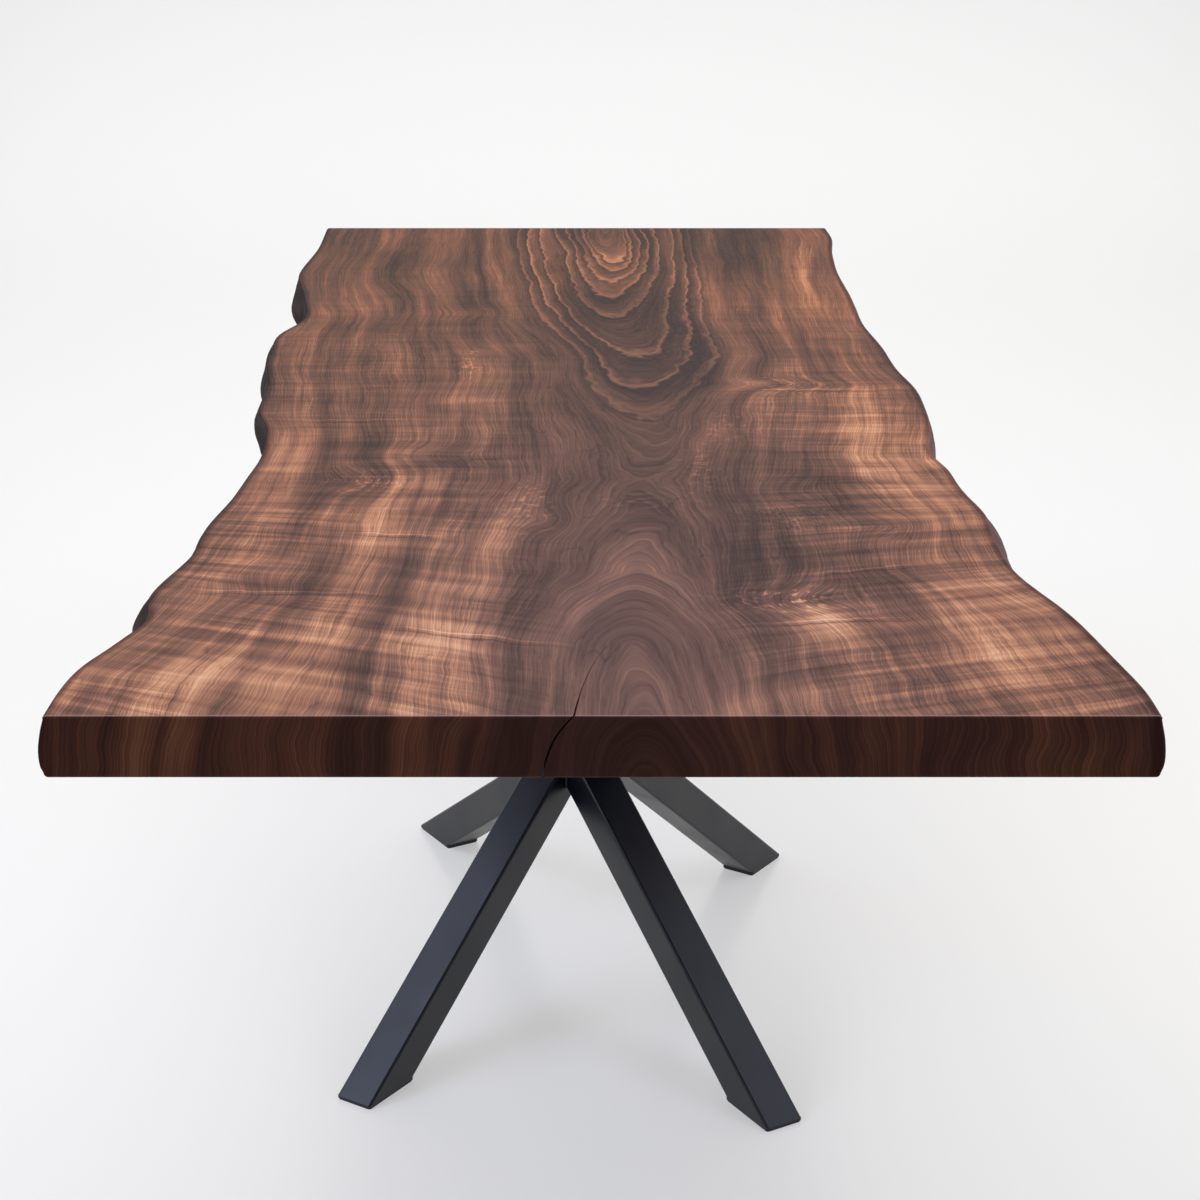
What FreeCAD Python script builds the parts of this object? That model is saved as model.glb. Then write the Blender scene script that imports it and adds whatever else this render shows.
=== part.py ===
import FreeCAD, Part
import math
import os

os.makedirs("parts", exist_ok=True)

# Overall size of the table, in millimetres
table_height = 779.0
slab_length = 2200.0
slab_half_width = 462.0
slab_thickness = 55.0
eased_edge = 3.0

# Square steel tubes of the base
tube_size = 50.0
tube_wall = 3.0
tube_corner = 3.5

# The tubes cross at this height, and each foot stands this far out from the crossing
crossing_height = 313.0
foot_reach_front_left = 435.0
foot_reach_front_right = 450.0
foot_reach_rear_right = 388.0
foot_reach_rear_left = 461.0

# Plan headings, from +X, of the two pairs of tubes, from the front foot up
front_left_degrees = 56.5
front_right_degrees = 120.9
half_turn_degrees = 180.0

# The crossing stands this far to the left of the middle of the slab
base_shift = 14.0

# Mounting plates, welded on the tops of the tubes
plate_thickness = 6.0
plate_end_margin = 8.0
plate_side_margin = 21.0
plate_corner = 8.0
bolt_end_inset = 14.0
bolt_side_inset = 10.0

# Screws, washers and the threaded inserts that they go up into
bolt_radius = 4.0
bolt_reach = 20.0
bolt_head_radius = 6.5
bolt_head_height = 5.0
hex_socket_across = 5.0
hex_socket_depth = 3.0
washer_radius = 9.0
washer_thickness = 1.6
insert_radius = 6.5
insert_length = 22.0
insert_hole_depth = 26.0
fit_clearance = 0.2
hole_play = 1.5

# Feet: a steel cap closes each tube and a thin pad lies under it
foot_cap_thickness = 3.0
foot_pad_thickness = 2.0
foot_pad_inset = 1.0

# Small round pieces and their holes are drawn with this many flats
flats_per_circle = 12
hex_sides = 6

# One overrun serves all cuts
overrun = 40.0

base_height = table_height - slab_thickness
tube_top = base_height - plate_thickness
tube_bottom = foot_pad_thickness + foot_cap_thickness

# The live edge seen from above, from the near end to the far end. Each row gives the share of
# the length, the share of the half width out to the top edge, and how far the side swells out
# below that edge, as a share of the thickness.
left_edge_shares = [
    (0.000, 0.985, 0.14),
    (0.034, 0.980, 0.15),
    (0.056, 0.964, 0.13),
    (0.076, 0.933, 0.12),
    (0.090, 0.912, 0.18),
    (0.106, 0.889, 0.28),
    (0.130, 0.902, 0.36),
    (0.150, 0.899, 0.40),
    (0.180, 0.871, 0.46),
    (0.203, 0.858, 0.38),
    (0.228, 0.863, 0.26),
    (0.252, 0.852, 0.42),
    (0.285, 0.833, 0.42),
    (0.318, 0.826, 0.32),
    (0.360, 0.819, 0.12),
    (0.398, 0.832, 0.02),
    (0.418, 0.846, -0.08),
    (0.437, 0.872, -0.12),
    (0.455, 0.884, 0.02),
    (0.477, 0.884, 0.26),
    (0.505, 0.888, 0.24),
    (0.530, 0.902, 0.17),
    (0.558, 0.923, 0.20),
    (0.595, 0.929, 0.26),
    (0.643, 0.932, 0.28),
    (0.662, 0.908, 0.24),
    (0.685, 0.888, 0.12),
    (0.735, 0.914, 0.08),
    (0.759, 0.924, 0.32),
    (0.788, 0.950, 0.32),
    (0.829, 0.980, 0.12),
    (0.856, 0.978, 0.16),
    (0.888, 0.968, 0.24),
    (0.920, 0.965, 0.12),
    (1.000, 0.974, 0.06),
]
right_edge_shares = [
    (0.000, 0.992, 0.12),
    (0.027, 0.989, 0.13),
    (0.056, 0.971, 0.12),
    (0.088, 0.950, 0.12),
    (0.120, 0.923, 0.14),
    (0.150, 0.883, 0.24),
    (0.174, 0.857, 0.30),
    (0.200, 0.849, 0.36),
    (0.230, 0.848, 0.40),
    (0.258, 0.854, 0.40),
    (0.285, 0.838, 0.40),
    (0.312, 0.826, 0.34),
    (0.338, 0.822, 0.22),
    (0.366, 0.801, 0.22),
    (0.396, 0.816, 0.18),
    (0.433, 0.836, 0.17),
    (0.465, 0.841, 0.20),
    (0.505, 0.842, 0.12),
    (0.545, 0.820, 0.08),
    (0.606, 0.807, 0.06),
    (0.665, 0.782, 0.12),
    (0.711, 0.779, 0.20),
    (0.770, 0.778, 0.25),
    (0.830, 0.773, 0.18),
    (0.880, 0.782, 0.06),
    (0.915, 0.792, 0.02),
    (0.960, 0.811, 0.00),
    (1.000, 0.805, 0.02),
]

# Section of the live edge: share of the thickness from the bottom, and share of the full swell
swell_profile_shares = [
    (0.00, 0.10),
    (0.07, 0.66),
    (0.22, 0.97),
    (0.48, 1.00),
    (0.74, 0.66),
    (0.92, 0.20),
    (1.00, 0.00),
]


def edge_curve(edge_shares, side, height_share, swell_share):
    """A smooth line along one live edge at one height, run on past both ends of the slab."""
    points = []
    for length_share, width_share, swell_reach_share in edge_shares:
        swell = slab_thickness * swell_reach_share * swell_share
        x = side * (slab_half_width * width_share + swell)
        y = slab_length * (length_share - 1 / 2)
        points.append(FreeCAD.Vector(x, y, base_height + slab_thickness * height_share))
    points.insert(0, points[0] - FreeCAD.Vector(0, overrun, 0))
    points.append(points[-1] + FreeCAD.Vector(0, overrun, 0))
    curve = Part.BSplineCurve()
    curve.interpolate(points)
    return curve.toShape(), points[0], points[-1]


def slab_outline(height_share, swell_share):
    """The closed outline of the uncut slab at one height: two live edges and two straight ends."""
    left, left_near, left_far = edge_curve(left_edge_shares, -1, height_share, swell_share)
    right, right_near, right_far = edge_curve(right_edge_shares, 1, height_share, swell_share)
    near_end = Part.makeLine(left_near, right_near)
    far_end = Part.makeLine(right_far, left_far)
    return Part.Wire([near_end, right, far_end, left])


def along(point, direction, distance):
    return point + FreeCAD.Vector(direction).multiply(distance)


def flat_sided_outline(point, radius, sides):
    """A regular outline round a point, its corners on the radius."""
    corners = []
    for step in range(sides + 1):
        angle = 2 * math.pi * step / sides
        corners.append(
            FreeCAD.Vector(
                point.x + radius * math.cos(angle), point.y + radius * math.sin(angle), point.z
            )
        )
    return Part.makePolygon(corners)


def upright_prism(point, z, radius, height, sides=flats_per_circle):
    """A small upright round or hexagonal bar over a point, from z upwards."""
    foot = FreeCAD.Vector(point.x, point.y, z)
    face = Part.Face(flat_sided_outline(foot, radius, sides))
    return face.extrude(FreeCAD.Vector(0, 0, height))


def square_outline(size):
    half = size / 2
    signs = [(1, 1), (-1, 1), (-1, -1), (1, -1), (1, 1)]
    return Part.makePolygon([FreeCAD.Vector(sx * half, sy * half, 0) for sx, sy in signs])


def rounded_rectangle(length, width, corner):
    """A flat rectangle with round corners, centred on the origin."""
    half_length = length / 2
    half_width = width / 2
    slope = corner * (1 - math.sqrt(1 / 2))
    edges = []
    for sx, sy in [(1, 1), (-1, 1), (-1, -1), (1, -1)]:
        on_end = FreeCAD.Vector(sx * half_length, sy * (half_width - corner), 0)
        middle = FreeCAD.Vector(sx * (half_length - slope), sy * (half_width - slope), 0)
        on_side = FreeCAD.Vector(sx * (half_length - corner), sy * half_width, 0)
        edges.append(Part.Arc(on_end, middle, on_side).toShape())
    for sign in (-1, 1):
        x = sign * (half_length - corner)
        y = sign * half_width
        edges.append(Part.makeLine(FreeCAD.Vector(-x, y, 0), FreeCAD.Vector(x, y, 0)))
        x = sign * half_length
        y = sign * (half_width - corner)
        edges.append(Part.makeLine(FreeCAD.Vector(x, -y, 0), FreeCAD.Vector(x, y, 0)))
    return Part.Wire(Part.__sortEdges__(edges))


class Stick:
    """One leaning tube line: where its axis runs, and which side of the crossing it passes."""

    def __init__(self, heading, foot_reach):
        angle = math.radians(heading)
        self.heading = heading
        self.forward = FreeCAD.Vector(math.cos(angle), math.sin(angle), 0)
        self.side = FreeCAD.Vector(-math.sin(angle), math.cos(angle), 0)
        slant_length = math.hypot(foot_reach, crossing_height)
        self.slope_sine = crossing_height / slant_length
        self.reach_per_height = foot_reach / crossing_height
        self.axis = along(
            FreeCAD.Vector(0, 0, self.slope_sine), self.forward, foot_reach / slant_length
        )
        crossing = FreeCAD.Vector(-base_shift, 0, crossing_height)
        self.crossing = along(crossing, self.side, tube_size / 2)
        self.section_length = tube_size / self.slope_sine

    def at_height(self, height):
        """The point of the tube's axis at one height above the floor."""
        point = along(
            self.crossing, self.forward, (height - crossing_height) * self.reach_per_height
        )
        return FreeCAD.Vector(point.x, point.y, height)

    def place(self, shape, height):
        """Turn a flat piece to the tube's heading and set it on the axis at one height."""
        placed = shape.copy()
        placed.rotate(FreeCAD.Vector(0, 0, 0), FreeCAD.Vector(0, 0, 1), self.heading)
        placed.translate(self.at_height(height))
        return placed


front_left_stick = Stick(front_left_degrees, foot_reach_front_left)
front_right_stick = Stick(front_right_degrees, foot_reach_front_right)
rear_right_stick = Stick(front_left_degrees + half_turn_degrees, foot_reach_rear_right)
rear_left_stick = Stick(front_right_degrees + half_turn_degrees, foot_reach_rear_left)

# Each stick by the corner where its foot stands, and by the corner where its plate is
sticks_by_foot = {
    "front_left": front_left_stick,
    "front_right": front_right_stick,
    "rear_right": rear_right_stick,
    "rear_left": rear_left_stick,
}
sticks_by_plate = {
    "rear_right": front_left_stick,
    "rear_left": front_right_stick,
    "front_left": rear_right_stick,
    "front_right": rear_left_stick,
}

plate_length = max(s.section_length for s in sticks_by_foot.values()) + 2 * plate_end_margin
plate_width = tube_size + 2 * plate_side_margin


def bar_along(stick, outline, size):
    """A solid bar along a stick from a flat outline, cut level at the foot and at the top."""
    section = outline.copy()
    section.rotate(FreeCAD.Vector(0, 0, 0), FreeCAD.Vector(0, 0, 1), stick.heading)
    lean = math.degrees(math.acos(stick.slope_sine))
    section.rotate(FreeCAD.Vector(0, 0, 0), stick.side, lean)
    section.translate(along(stick.at_height(tube_bottom), stick.axis, -size - overrun))
    span = (tube_top - tube_bottom) / stick.slope_sine + 2 * (size + overrun)
    bar = Part.Face(section).extrude(along(FreeCAD.Vector(0, 0, 0), stick.axis, span))
    reach = span + base_shift + size
    corner = FreeCAD.Vector(-reach, -reach, tube_bottom)
    room = Part.makeBox(2 * reach, 2 * reach, tube_top - tube_bottom, corner)
    return bar.common(room)


def solid_bar(stick):
    """The room that a tube takes up, walls and hollow together."""
    return bar_along(stick, rounded_rectangle(tube_size, tube_size, tube_corner), tube_size)


def tube_along(stick):
    """A square tube with its real wall, open at both ends."""
    inner_size = tube_size - 2 * tube_wall
    return solid_bar(stick).cut(bar_along(stick, square_outline(inner_size), tube_size))


def side_of_crossing(stick, sign):
    """The room on one side of the upright plane where a whole tube meets its twin."""
    reach = slab_length
    room = Part.makeBox(2 * reach, reach, table_height, FreeCAD.Vector(-reach, 0, 0))
    if sign < 0:
        room.translate(FreeCAD.Vector(0, -reach, 0))
    room.rotate(FreeCAD.Vector(0, 0, 0), FreeCAD.Vector(0, 0, 1), stick.heading)
    room.translate(FreeCAD.Vector(-base_shift, 0, 0))
    return room


def coped_half(stick, whole_stick, sign):
    """Half of a sawn tube, ending on the middle plane and shaped to the tube it is welded to."""
    half = tube_along(stick).common(side_of_crossing(whole_stick, sign))
    for bar in whole_bars:
        half = half.cut(bar)
    return max(half.Solids, key=lambda solid: solid.Volume)


def mounting_plate(stick):
    """A flat steel plate whose wide holes let the wood move across its grain."""
    outline = rounded_rectangle(plate_length, plate_width, plate_corner)
    plate = Part.Face(outline).extrude(FreeCAD.Vector(0, 0, plate_thickness))
    plate = stick.place(plate, tube_top)
    hole_radius = bolt_radius + hole_play
    for point in bolt_points(stick):
        z = tube_top - overrun
        plate = plate.cut(upright_prism(point, z, hole_radius, plate_thickness + 2 * overrun))
    return plate


def bolt_points(stick):
    """The four bolt centres of one plate, at the height of the slab's underside."""
    points = []
    centre = stick.at_height(tube_top)
    for along_sign in (-1, 1):
        for side_sign in (-1, 1):
            end_reach = plate_length / 2 - bolt_end_inset
            side_reach = plate_width / 2 - bolt_side_inset
            point = along(centre, stick.forward, along_sign * end_reach)
            point = along(point, stick.side, side_sign * side_reach)
            points.append(FreeCAD.Vector(point.x, point.y, base_height))
    return points


def bolt(point):
    """A low-head screw with a hexagon socket."""
    head_top = tube_top - washer_thickness
    head_bottom = head_top - bolt_head_height
    head = upright_prism(point, head_bottom, bolt_head_radius, bolt_head_height)
    shank_length = base_height + bolt_reach - head_top
    shank = upright_prism(point, head_top, bolt_radius, shank_length)
    socket_radius = hex_socket_across / math.sqrt(3)
    socket_height = hex_socket_depth + overrun
    socket = upright_prism(point, head_bottom - overrun, socket_radius, socket_height, hex_sides)
    return head.fuse(shank).cut(socket)


def washer(point):
    z = tube_top - washer_thickness
    disc = upright_prism(point, z, washer_radius, washer_thickness)
    hole = upright_prism(point, z - overrun, bolt_radius + fit_clearance, 2 * overrun)
    return disc.cut(hole)


def threaded_insert(point):
    """A steel sleeve screwed into the underside of the slab, flush with it."""
    sleeve = upright_prism(point, base_height, insert_radius, insert_length)
    bore_radius = bolt_radius + fit_clearance
    bore = upright_prism(point, base_height - overrun, bore_radius, 2 * overrun + insert_length)
    return sleeve.cut(bore)


def foot_cap(stick):
    """The steel cap that closes the cut end of a tube just above the floor."""
    outline = rounded_rectangle(stick.section_length, tube_size, tube_corner)
    cap = Part.Face(outline).extrude(FreeCAD.Vector(0, 0, -foot_cap_thickness))
    return stick.place(cap, tube_bottom)


def foot_pad(stick):
    """The thin dark pad under a foot, set in a little from the cap's edge."""
    length = stick.section_length - 2 * foot_pad_inset
    outline = rounded_rectangle(length, tube_size - 2 * foot_pad_inset, tube_corner)
    pad = Part.Face(outline).extrude(FreeCAD.Vector(0, 0, foot_pad_thickness))
    pad.translate(FreeCAD.Vector(0, 0, -tube_bottom))
    return stick.place(pad, tube_bottom)


def ease_ends(slab):
    """Round the edges all the way round the two sawn ends."""
    edges = []
    for face in slab.Faces:
        if abs(abs(face.CenterOfMass.y) - slab_length / 2) < eased_edge:
            edges.extend(face.Edges)
    return slab.makeFillet(eased_edge, edges)


def live_edge_slab():
    """One slab lofted through its outlines, sawn to length, its ends eased, with insert holes."""
    outlines = [slab_outline(height, swell) for height, swell in swell_profile_shares]
    slab = Part.makeLoft(outlines, True, True)
    corner = FreeCAD.Vector(-slab_length, -slab_length / 2, 0)
    slab = slab.common(Part.makeBox(2 * slab_length, slab_length, table_height, corner))
    slab = ease_ends(slab)
    slab.translate(FreeCAD.Vector(-slab.optimalBoundingBox().Center.x, 0, 0))
    for point in bolt_centres:
        z = base_height - overrun
        hole_radius = insert_radius + fit_clearance
        slab = slab.cut(upright_prism(point, z, hole_radius, insert_hole_depth + overrun))
    return slab


def export(name, shape):
    shape.exportStep("parts/" + name + ".step")
    print(name, len(shape.Solids), "solids,", round(shape.Volume / 1000, 1), "cm3")


bolt_centres = [point for stick in sticks_by_foot.values() for point in bolt_points(stick)]

export("walnut_slab", live_edge_slab())

# The two tubes from the front right and the rear left run whole through the crossing
export("tube_front_right", tube_along(front_right_stick))
export("tube_rear_left", tube_along(rear_left_stick))

# The other two are sawn through and welded on from both sides
whole_bars = [solid_bar(front_right_stick), solid_bar(rear_left_stick)]
export("leg_front_left", coped_half(front_left_stick, front_right_stick, 1))
export("arm_rear_right", coped_half(front_left_stick, front_right_stick, -1))
export("leg_rear_right", coped_half(rear_right_stick, front_right_stick, -1))
export("arm_front_left", coped_half(rear_right_stick, front_right_stick, 1))

for corner_name, stick in sticks_by_plate.items():
    export("mounting_plate_" + corner_name, mounting_plate(stick))
for corner_name, stick in sticks_by_foot.items():
    export("foot_cap_" + corner_name, foot_cap(stick))
    export("foot_pad_" + corner_name, foot_pad(stick))

export("plate_bolts", Part.makeCompound([bolt(point) for point in bolt_centres]))
export("plate_washers", Part.makeCompound([washer(point) for point in bolt_centres]))
export("threaded_inserts", Part.makeCompound([threaded_insert(p) for p in bolt_centres]))
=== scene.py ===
# %% [markdown]
# A long dining table: one thick walnut slab with its live edges kept, on a base of square steel
# tubes that lean and cross. The steel base is already modelled at its real size, so it is loaded
# as it is and only gets its finish. The slab is made again here, finer, because its colour, its
# growth rings and the small hollows of its live edges are what the eye goes to first.

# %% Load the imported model
import math

import bmesh
import bpy
import numpy as np
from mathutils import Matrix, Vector, noise
from mathutils.bvhtree import BVHTree


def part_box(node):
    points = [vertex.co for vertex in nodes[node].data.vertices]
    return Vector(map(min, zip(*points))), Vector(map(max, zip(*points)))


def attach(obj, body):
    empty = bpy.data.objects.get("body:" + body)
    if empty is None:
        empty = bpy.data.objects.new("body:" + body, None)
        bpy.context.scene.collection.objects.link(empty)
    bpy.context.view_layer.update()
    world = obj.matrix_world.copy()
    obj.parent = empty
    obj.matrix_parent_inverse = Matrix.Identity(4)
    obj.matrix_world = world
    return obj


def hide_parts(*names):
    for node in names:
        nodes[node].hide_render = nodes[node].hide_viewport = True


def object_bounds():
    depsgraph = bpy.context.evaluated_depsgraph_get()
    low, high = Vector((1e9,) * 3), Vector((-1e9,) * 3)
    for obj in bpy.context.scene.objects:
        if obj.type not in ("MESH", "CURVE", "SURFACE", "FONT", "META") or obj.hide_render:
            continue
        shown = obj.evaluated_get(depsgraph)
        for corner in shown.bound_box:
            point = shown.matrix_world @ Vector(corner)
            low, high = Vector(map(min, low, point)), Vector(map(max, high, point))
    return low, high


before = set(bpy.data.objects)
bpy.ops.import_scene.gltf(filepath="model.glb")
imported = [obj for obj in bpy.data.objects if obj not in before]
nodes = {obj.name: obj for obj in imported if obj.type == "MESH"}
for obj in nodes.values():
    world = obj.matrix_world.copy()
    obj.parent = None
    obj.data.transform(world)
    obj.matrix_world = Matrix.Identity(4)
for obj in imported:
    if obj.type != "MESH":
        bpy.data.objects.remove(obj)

cad_low, cad_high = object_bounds()
print("pieces of the frame:", len(nodes))
print("size of the table in metres:", [round(h - l, 4) for l, h in zip(cad_low, cad_high)])

# %% [markdown]
# Two small helpers serve every material and every node tree. One turns the hex value of a colour,
# as read on a screen, into the linear numbers that Blender works in. The other adds one node with
# its settings, its values and its links, so that a tree reads from top to bottom like a recipe.

# %% Helpers for colours and nodes
def linear(hex_colour):
    """The linear red, green, blue and alpha of an sRGB hex colour."""
    result = []
    for start in (1, 3, 5):
        share = int(hex_colour[start:start + 2], 16) / 255
        result.append(share / 12.92 if share <= 0.04045 else ((share + 0.055) / 1.055) ** 2.4)
    return (*result, 1.0)


def socket_of(sockets, key):
    """The socket with a number or a name; of those that share the name, the one in use."""
    if isinstance(key, int):
        return sockets[key]
    return next(socket for socket in sockets if socket.name == key and socket.enabled)


def add(tree, kind, values=None, stops=(), **settings):
    """Add a node. Settings are its properties, values fill or link its sockets, and stops are
    the places of its ramp with their hex colours or grey levels. A list links all its nodes."""
    node = tree.nodes.new(kind)
    for name, setting in settings.items():
        setattr(node, name, setting)
    for key, value in (values or {}).items():
        target = socket_of(node.inputs, key)
        for source in value if isinstance(value, list) else [value]:
            if isinstance(source, bpy.types.Node):
                source = next(socket for socket in source.outputs if socket.enabled)
            if isinstance(source, bpy.types.NodeSocket):
                tree.links.new(source, target)
            else:
                target.default_value = source
    for number, (place, colour) in enumerate(stops):
        elements = node.color_ramp.elements
        element = elements[number] if number < 2 else elements.new(place)
        element.position = place
        element.color = linear(colour) if isinstance(colour, str) else (colour, colour, colour, 1)
    return node


def new_material(name):
    """An empty node material and its tree."""
    material = bpy.data.materials.new(name)
    material.use_nodes = True
    material.node_tree.nodes.clear()
    return material, material.node_tree


print("pure mid grey is", round(linear("#808080")[0], 3))

# %% [markdown]
# The slab is a plank sawn lengthwise from a log. Everything that shows on it follows from where it
# lay in that log: the rings are circles round the pith, so the saw cuts them into long nested
# arches where the pith rises to the surface, and into fine parallel lines far from it. So the pith
# comes first. Its line is given by a few points along the slab: how far it lies to the right of
# the middle, and how deep below the top. At the far end it comes right up to the surface.

# %% The line of the pith
slab_low, slab_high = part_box("walnut_slab")
slab_length = slab_high.y - slab_low.y
slab_top = slab_high.z
slab_thickness = slab_high.z - slab_low.z

# Share of the length from the near end, metres right of the middle, metres below the top
pith_points = [
    (0.000, 0.034, 0.060),
    (0.080, 0.028, 0.080),
    (0.118, 0.028, 0.100),
    (0.170, 0.032, 0.128),
    (0.318, 0.040, 0.150),
    (0.444, 0.046, 0.138),
    (0.577, 0.060, 0.105),
    (0.680, 0.030, 0.079),
    (0.840, 0.015, 0.040),
    (1.000, 0.006, 0.002),
]


def pith_at(y):
    """How far right of the middle and how far below the top the pith runs at y."""
    shares = (np.asarray(y) - slab_low.y) / slab_length
    places, across, depth = zip(*pith_points)
    return np.interp(shares, places, across), np.interp(shares, places, depth)


print("pith at mid length:", [round(float(value), 3) for value in pith_at(0.0)])

# %% [markdown]
# The live edge is the true outside of the tree under its bark, sanded smooth. Its outline is read
# off the frame's slab: at each station along the length, rays from both sides find how far the
# wood reaches at several heights. The readings are smoothed a little, so that the facets of the
# frame don't show. Reading the frame, and not typing the outline again, keeps the two the same.

# %% Read the live edges off the frame
station_step = 0.005
reading_levels = 15
reading_margin = 0.0012
end_margin = 0.0045
smoothing_reach = 0.006

station_count = int(round(slab_length / station_step)) + 1
stations = np.linspace(slab_low.y + end_margin, slab_high.y - end_margin, station_count)
levels = np.linspace(slab_low.z + reading_margin, slab_high.z - reading_margin, reading_levels)


def tree_of(*names):
    """A search tree of the faces of some frame nodes."""
    points, faces = [], []
    for name in names:
        mesh = nodes[name].data
        start = len(points)
        points.extend(v.co.copy() for v in mesh.vertices)
        faces.extend([start + index for index in polygon.vertices] for polygon in mesh.polygons)
    return BVHTree.FromPolygons(points, faces)


def read_reaches(side):
    """The x of one live edge at every station and level."""
    faces = tree_of("walnut_slab")
    start_x = side * (cad_high.x - cad_low.x)
    reaches = np.zeros((station_count, reading_levels))
    for row, y in enumerate(stations):
        for column, z in enumerate(levels):
            hit = faces.ray_cast(Vector((start_x, y, z)), Vector((-side, 0, 0)))[0]
            reaches[row, column] = hit.x
    return reaches


def smoothed(values, passes):
    """Values averaged with their neighbours along the first axis, the ends kept."""
    result = values.copy()
    for _ in range(passes):
        result[1:-1] = (result[:-2] + 2 * result[1:-1] + result[2:]) / 4
    return result


smoothing_passes = int(2 * (smoothing_reach / station_step) ** 2)
level_passes = 2
edge_x = {}
for side in (-1, 1):
    along_smoothed = smoothed(read_reaches(side), smoothing_passes)
    edge_x[side] = smoothed(along_smoothed.T, level_passes).T
print("near end width at the top:", round(edge_x[1][0, -1] - edge_x[-1][0, -1], 3))

# %% [markdown]
# Each station becomes one closed loop of points: across the top, round the eased arris, down the
# live edge, round the lower arris and back along the underside. The live edge gets shallow
# hollows and flutes, always cut inwards, as bark leaves them and sanding softens them.

# %% The outline of one section
arris_radius = 0.0040
arris_steps = 4
side_steps = 10
top_columns = 36

# Depth and size of the flutes and dents. A draw is the place in the noise that each starts at
flute_depth = 0.0016
flute_length = 0.055
flute_height = 0.016
flute_draw = 7.3
dent_depth = 0.0010
dent_size = 0.021
dent_draw = 3.1
hollow_fade = 0.6


def hollow_depth(side, y, z):
    """How deep the live edge is hollowed at a point, fading out at both arrises."""
    share = (z - slab_low.z) / slab_thickness
    fade = max(0.0, math.sin(math.pi * share)) ** hollow_fade
    flute = noise.noise(Vector((side * flute_draw, y / flute_length, z / flute_height)))
    dent = noise.noise(Vector((side * dent_draw, y / dent_size, z / dent_size)))
    depth = flute_depth * (0.5 + 0.5 * flute) + dent_depth * max(0.0, dent)
    return depth * fade


def side_points(side, row):
    """The points of one live edge at a station, from its top arris down to its lower one."""
    y = stations[row]
    reaches = edge_x[side][row]
    points = []
    for step in range(arris_steps):
        angle = math.pi / 2 * step / arris_steps
        z = slab_high.z - arris_radius
        x = np.interp(z, levels, reaches) - side * arris_radius
        points.append((x + side * arris_radius * math.sin(angle),
                       z + arris_radius * math.cos(angle)))
    for step in range(side_steps + 1):
        z = slab_high.z - arris_radius - (slab_thickness - 2 * arris_radius) * step / side_steps
        x = np.interp(z, levels, reaches) - side * hollow_depth(side, y, z)
        points.append((x, z))
    for step in range(1, arris_steps + 1):
        angle = math.pi / 2 * step / arris_steps
        z = slab_low.z + arris_radius
        x = np.interp(z, levels, reaches) - side * arris_radius
        x -= side * hollow_depth(side, y, z)
        points.append((x + side * arris_radius * math.cos(angle),
                       z - arris_radius * math.sin(angle)))
    return points


def section_loop(row):
    """The closed outline of the slab at one station, clockwise from the top left."""
    right = side_points(1, row)
    left = side_points(-1, row)
    loop = []
    for step in range(top_columns):
        share = step / top_columns
        loop.append((left[0][0] * (1 - share) + right[0][0] * share, slab_high.z))
    loop.extend(right[:-1])
    for step in range(top_columns):
        share = step / top_columns
        loop.append((right[-1][0] * (1 - share) + left[-1][0] * share, slab_low.z))
    loop.extend(reversed(left[1:]))
    return np.array(loop)


print("points round a section:", len(section_loop(0)))

# %% [markdown]
# The loops are skinned into one closed mesh. Near both ends they shrink over the last few
# millimetres, which rounds the sawn edges. Upright strips close the end faces, so that what each
# vertex is told about the wood later on is right all over them.

# %% Skin the slab
end_radius = 0.0028
end_steps = 4


def inset(loop, distance):
    """A section outline moved inwards, each point along its own normal."""
    tangents = np.roll(loop, -1, 0) - np.roll(loop, 1, 0)
    tangents /= np.linalg.norm(tangents, axis=1)[:, None]
    inward = np.stack([tangents[:, 1], -tangents[:, 0]], 1)
    return loop + inward * distance


def all_loops():
    """Every loop of the slab with its y, the rounded ends included."""
    body = [(y, section_loop(row)) for row, y in enumerate(stations)]
    near, far = [], []
    for step in range(end_steps + 1):
        angle = math.pi / 2 * step / end_steps
        pull = end_radius * (1 - math.cos(angle))
        out = end_radius * (1 - math.sin(angle))
        near.append((slab_low.y + out, inset(body[0][1], pull)))
        far.append((slab_high.y - out, inset(body[-1][1], pull)))
    return near[::-1] + body + far


def close_end(mesh, ring, flip):
    """Fill one end: upright strips between the top and the bottom, and a rounded face each side."""
    side_count = arris_steps * 2 + side_steps
    top = ring[:top_columns + 1]
    right = ring[top_columns:top_columns + side_count + 1]
    bottom = ring[top_columns + side_count:2 * top_columns + side_count + 1][::-1]
    left = ring[2 * top_columns + side_count:] + ring[:1]
    faces = [right[::-1], left[::-1]]
    for column in range(top_columns):
        faces.append([top[column], bottom[column], bottom[column + 1], top[column + 1]])
    for face in faces:
        mesh.faces.new(face[::-1] if flip else face)


def slab_mesh():
    """The whole slab as one closed mesh."""
    mesh = bmesh.new()
    rings = []
    for y, loop in all_loops():
        rings.append([mesh.verts.new((x, y, z)) for x, z in loop])
    count = len(rings[0])
    for near, far in zip(rings, rings[1:]):
        for index in range(count):
            after = (index + 1) % count
            mesh.faces.new((near[index], near[after], far[after], far[index]))
    close_end(mesh, rings[0], False)
    close_end(mesh, rings[-1], True)
    mesh.normal_update()
    data = bpy.data.meshes.new("live_edge_slab")
    mesh.to_mesh(data)
    mesh.free()
    return data


slab = bpy.data.objects.new("live_edge_slab", slab_mesh())
bpy.context.scene.collection.objects.link(slab)
print("faces of the slab:", len(slab.data.polygons))

# %% [markdown]
# Two things are cut from the wood. The first is the shake, a thin split between two growth rings
# that opened at the near end as the log dried. Its blade follows one ring round the pith and gets
# thinner as it runs in.

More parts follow.
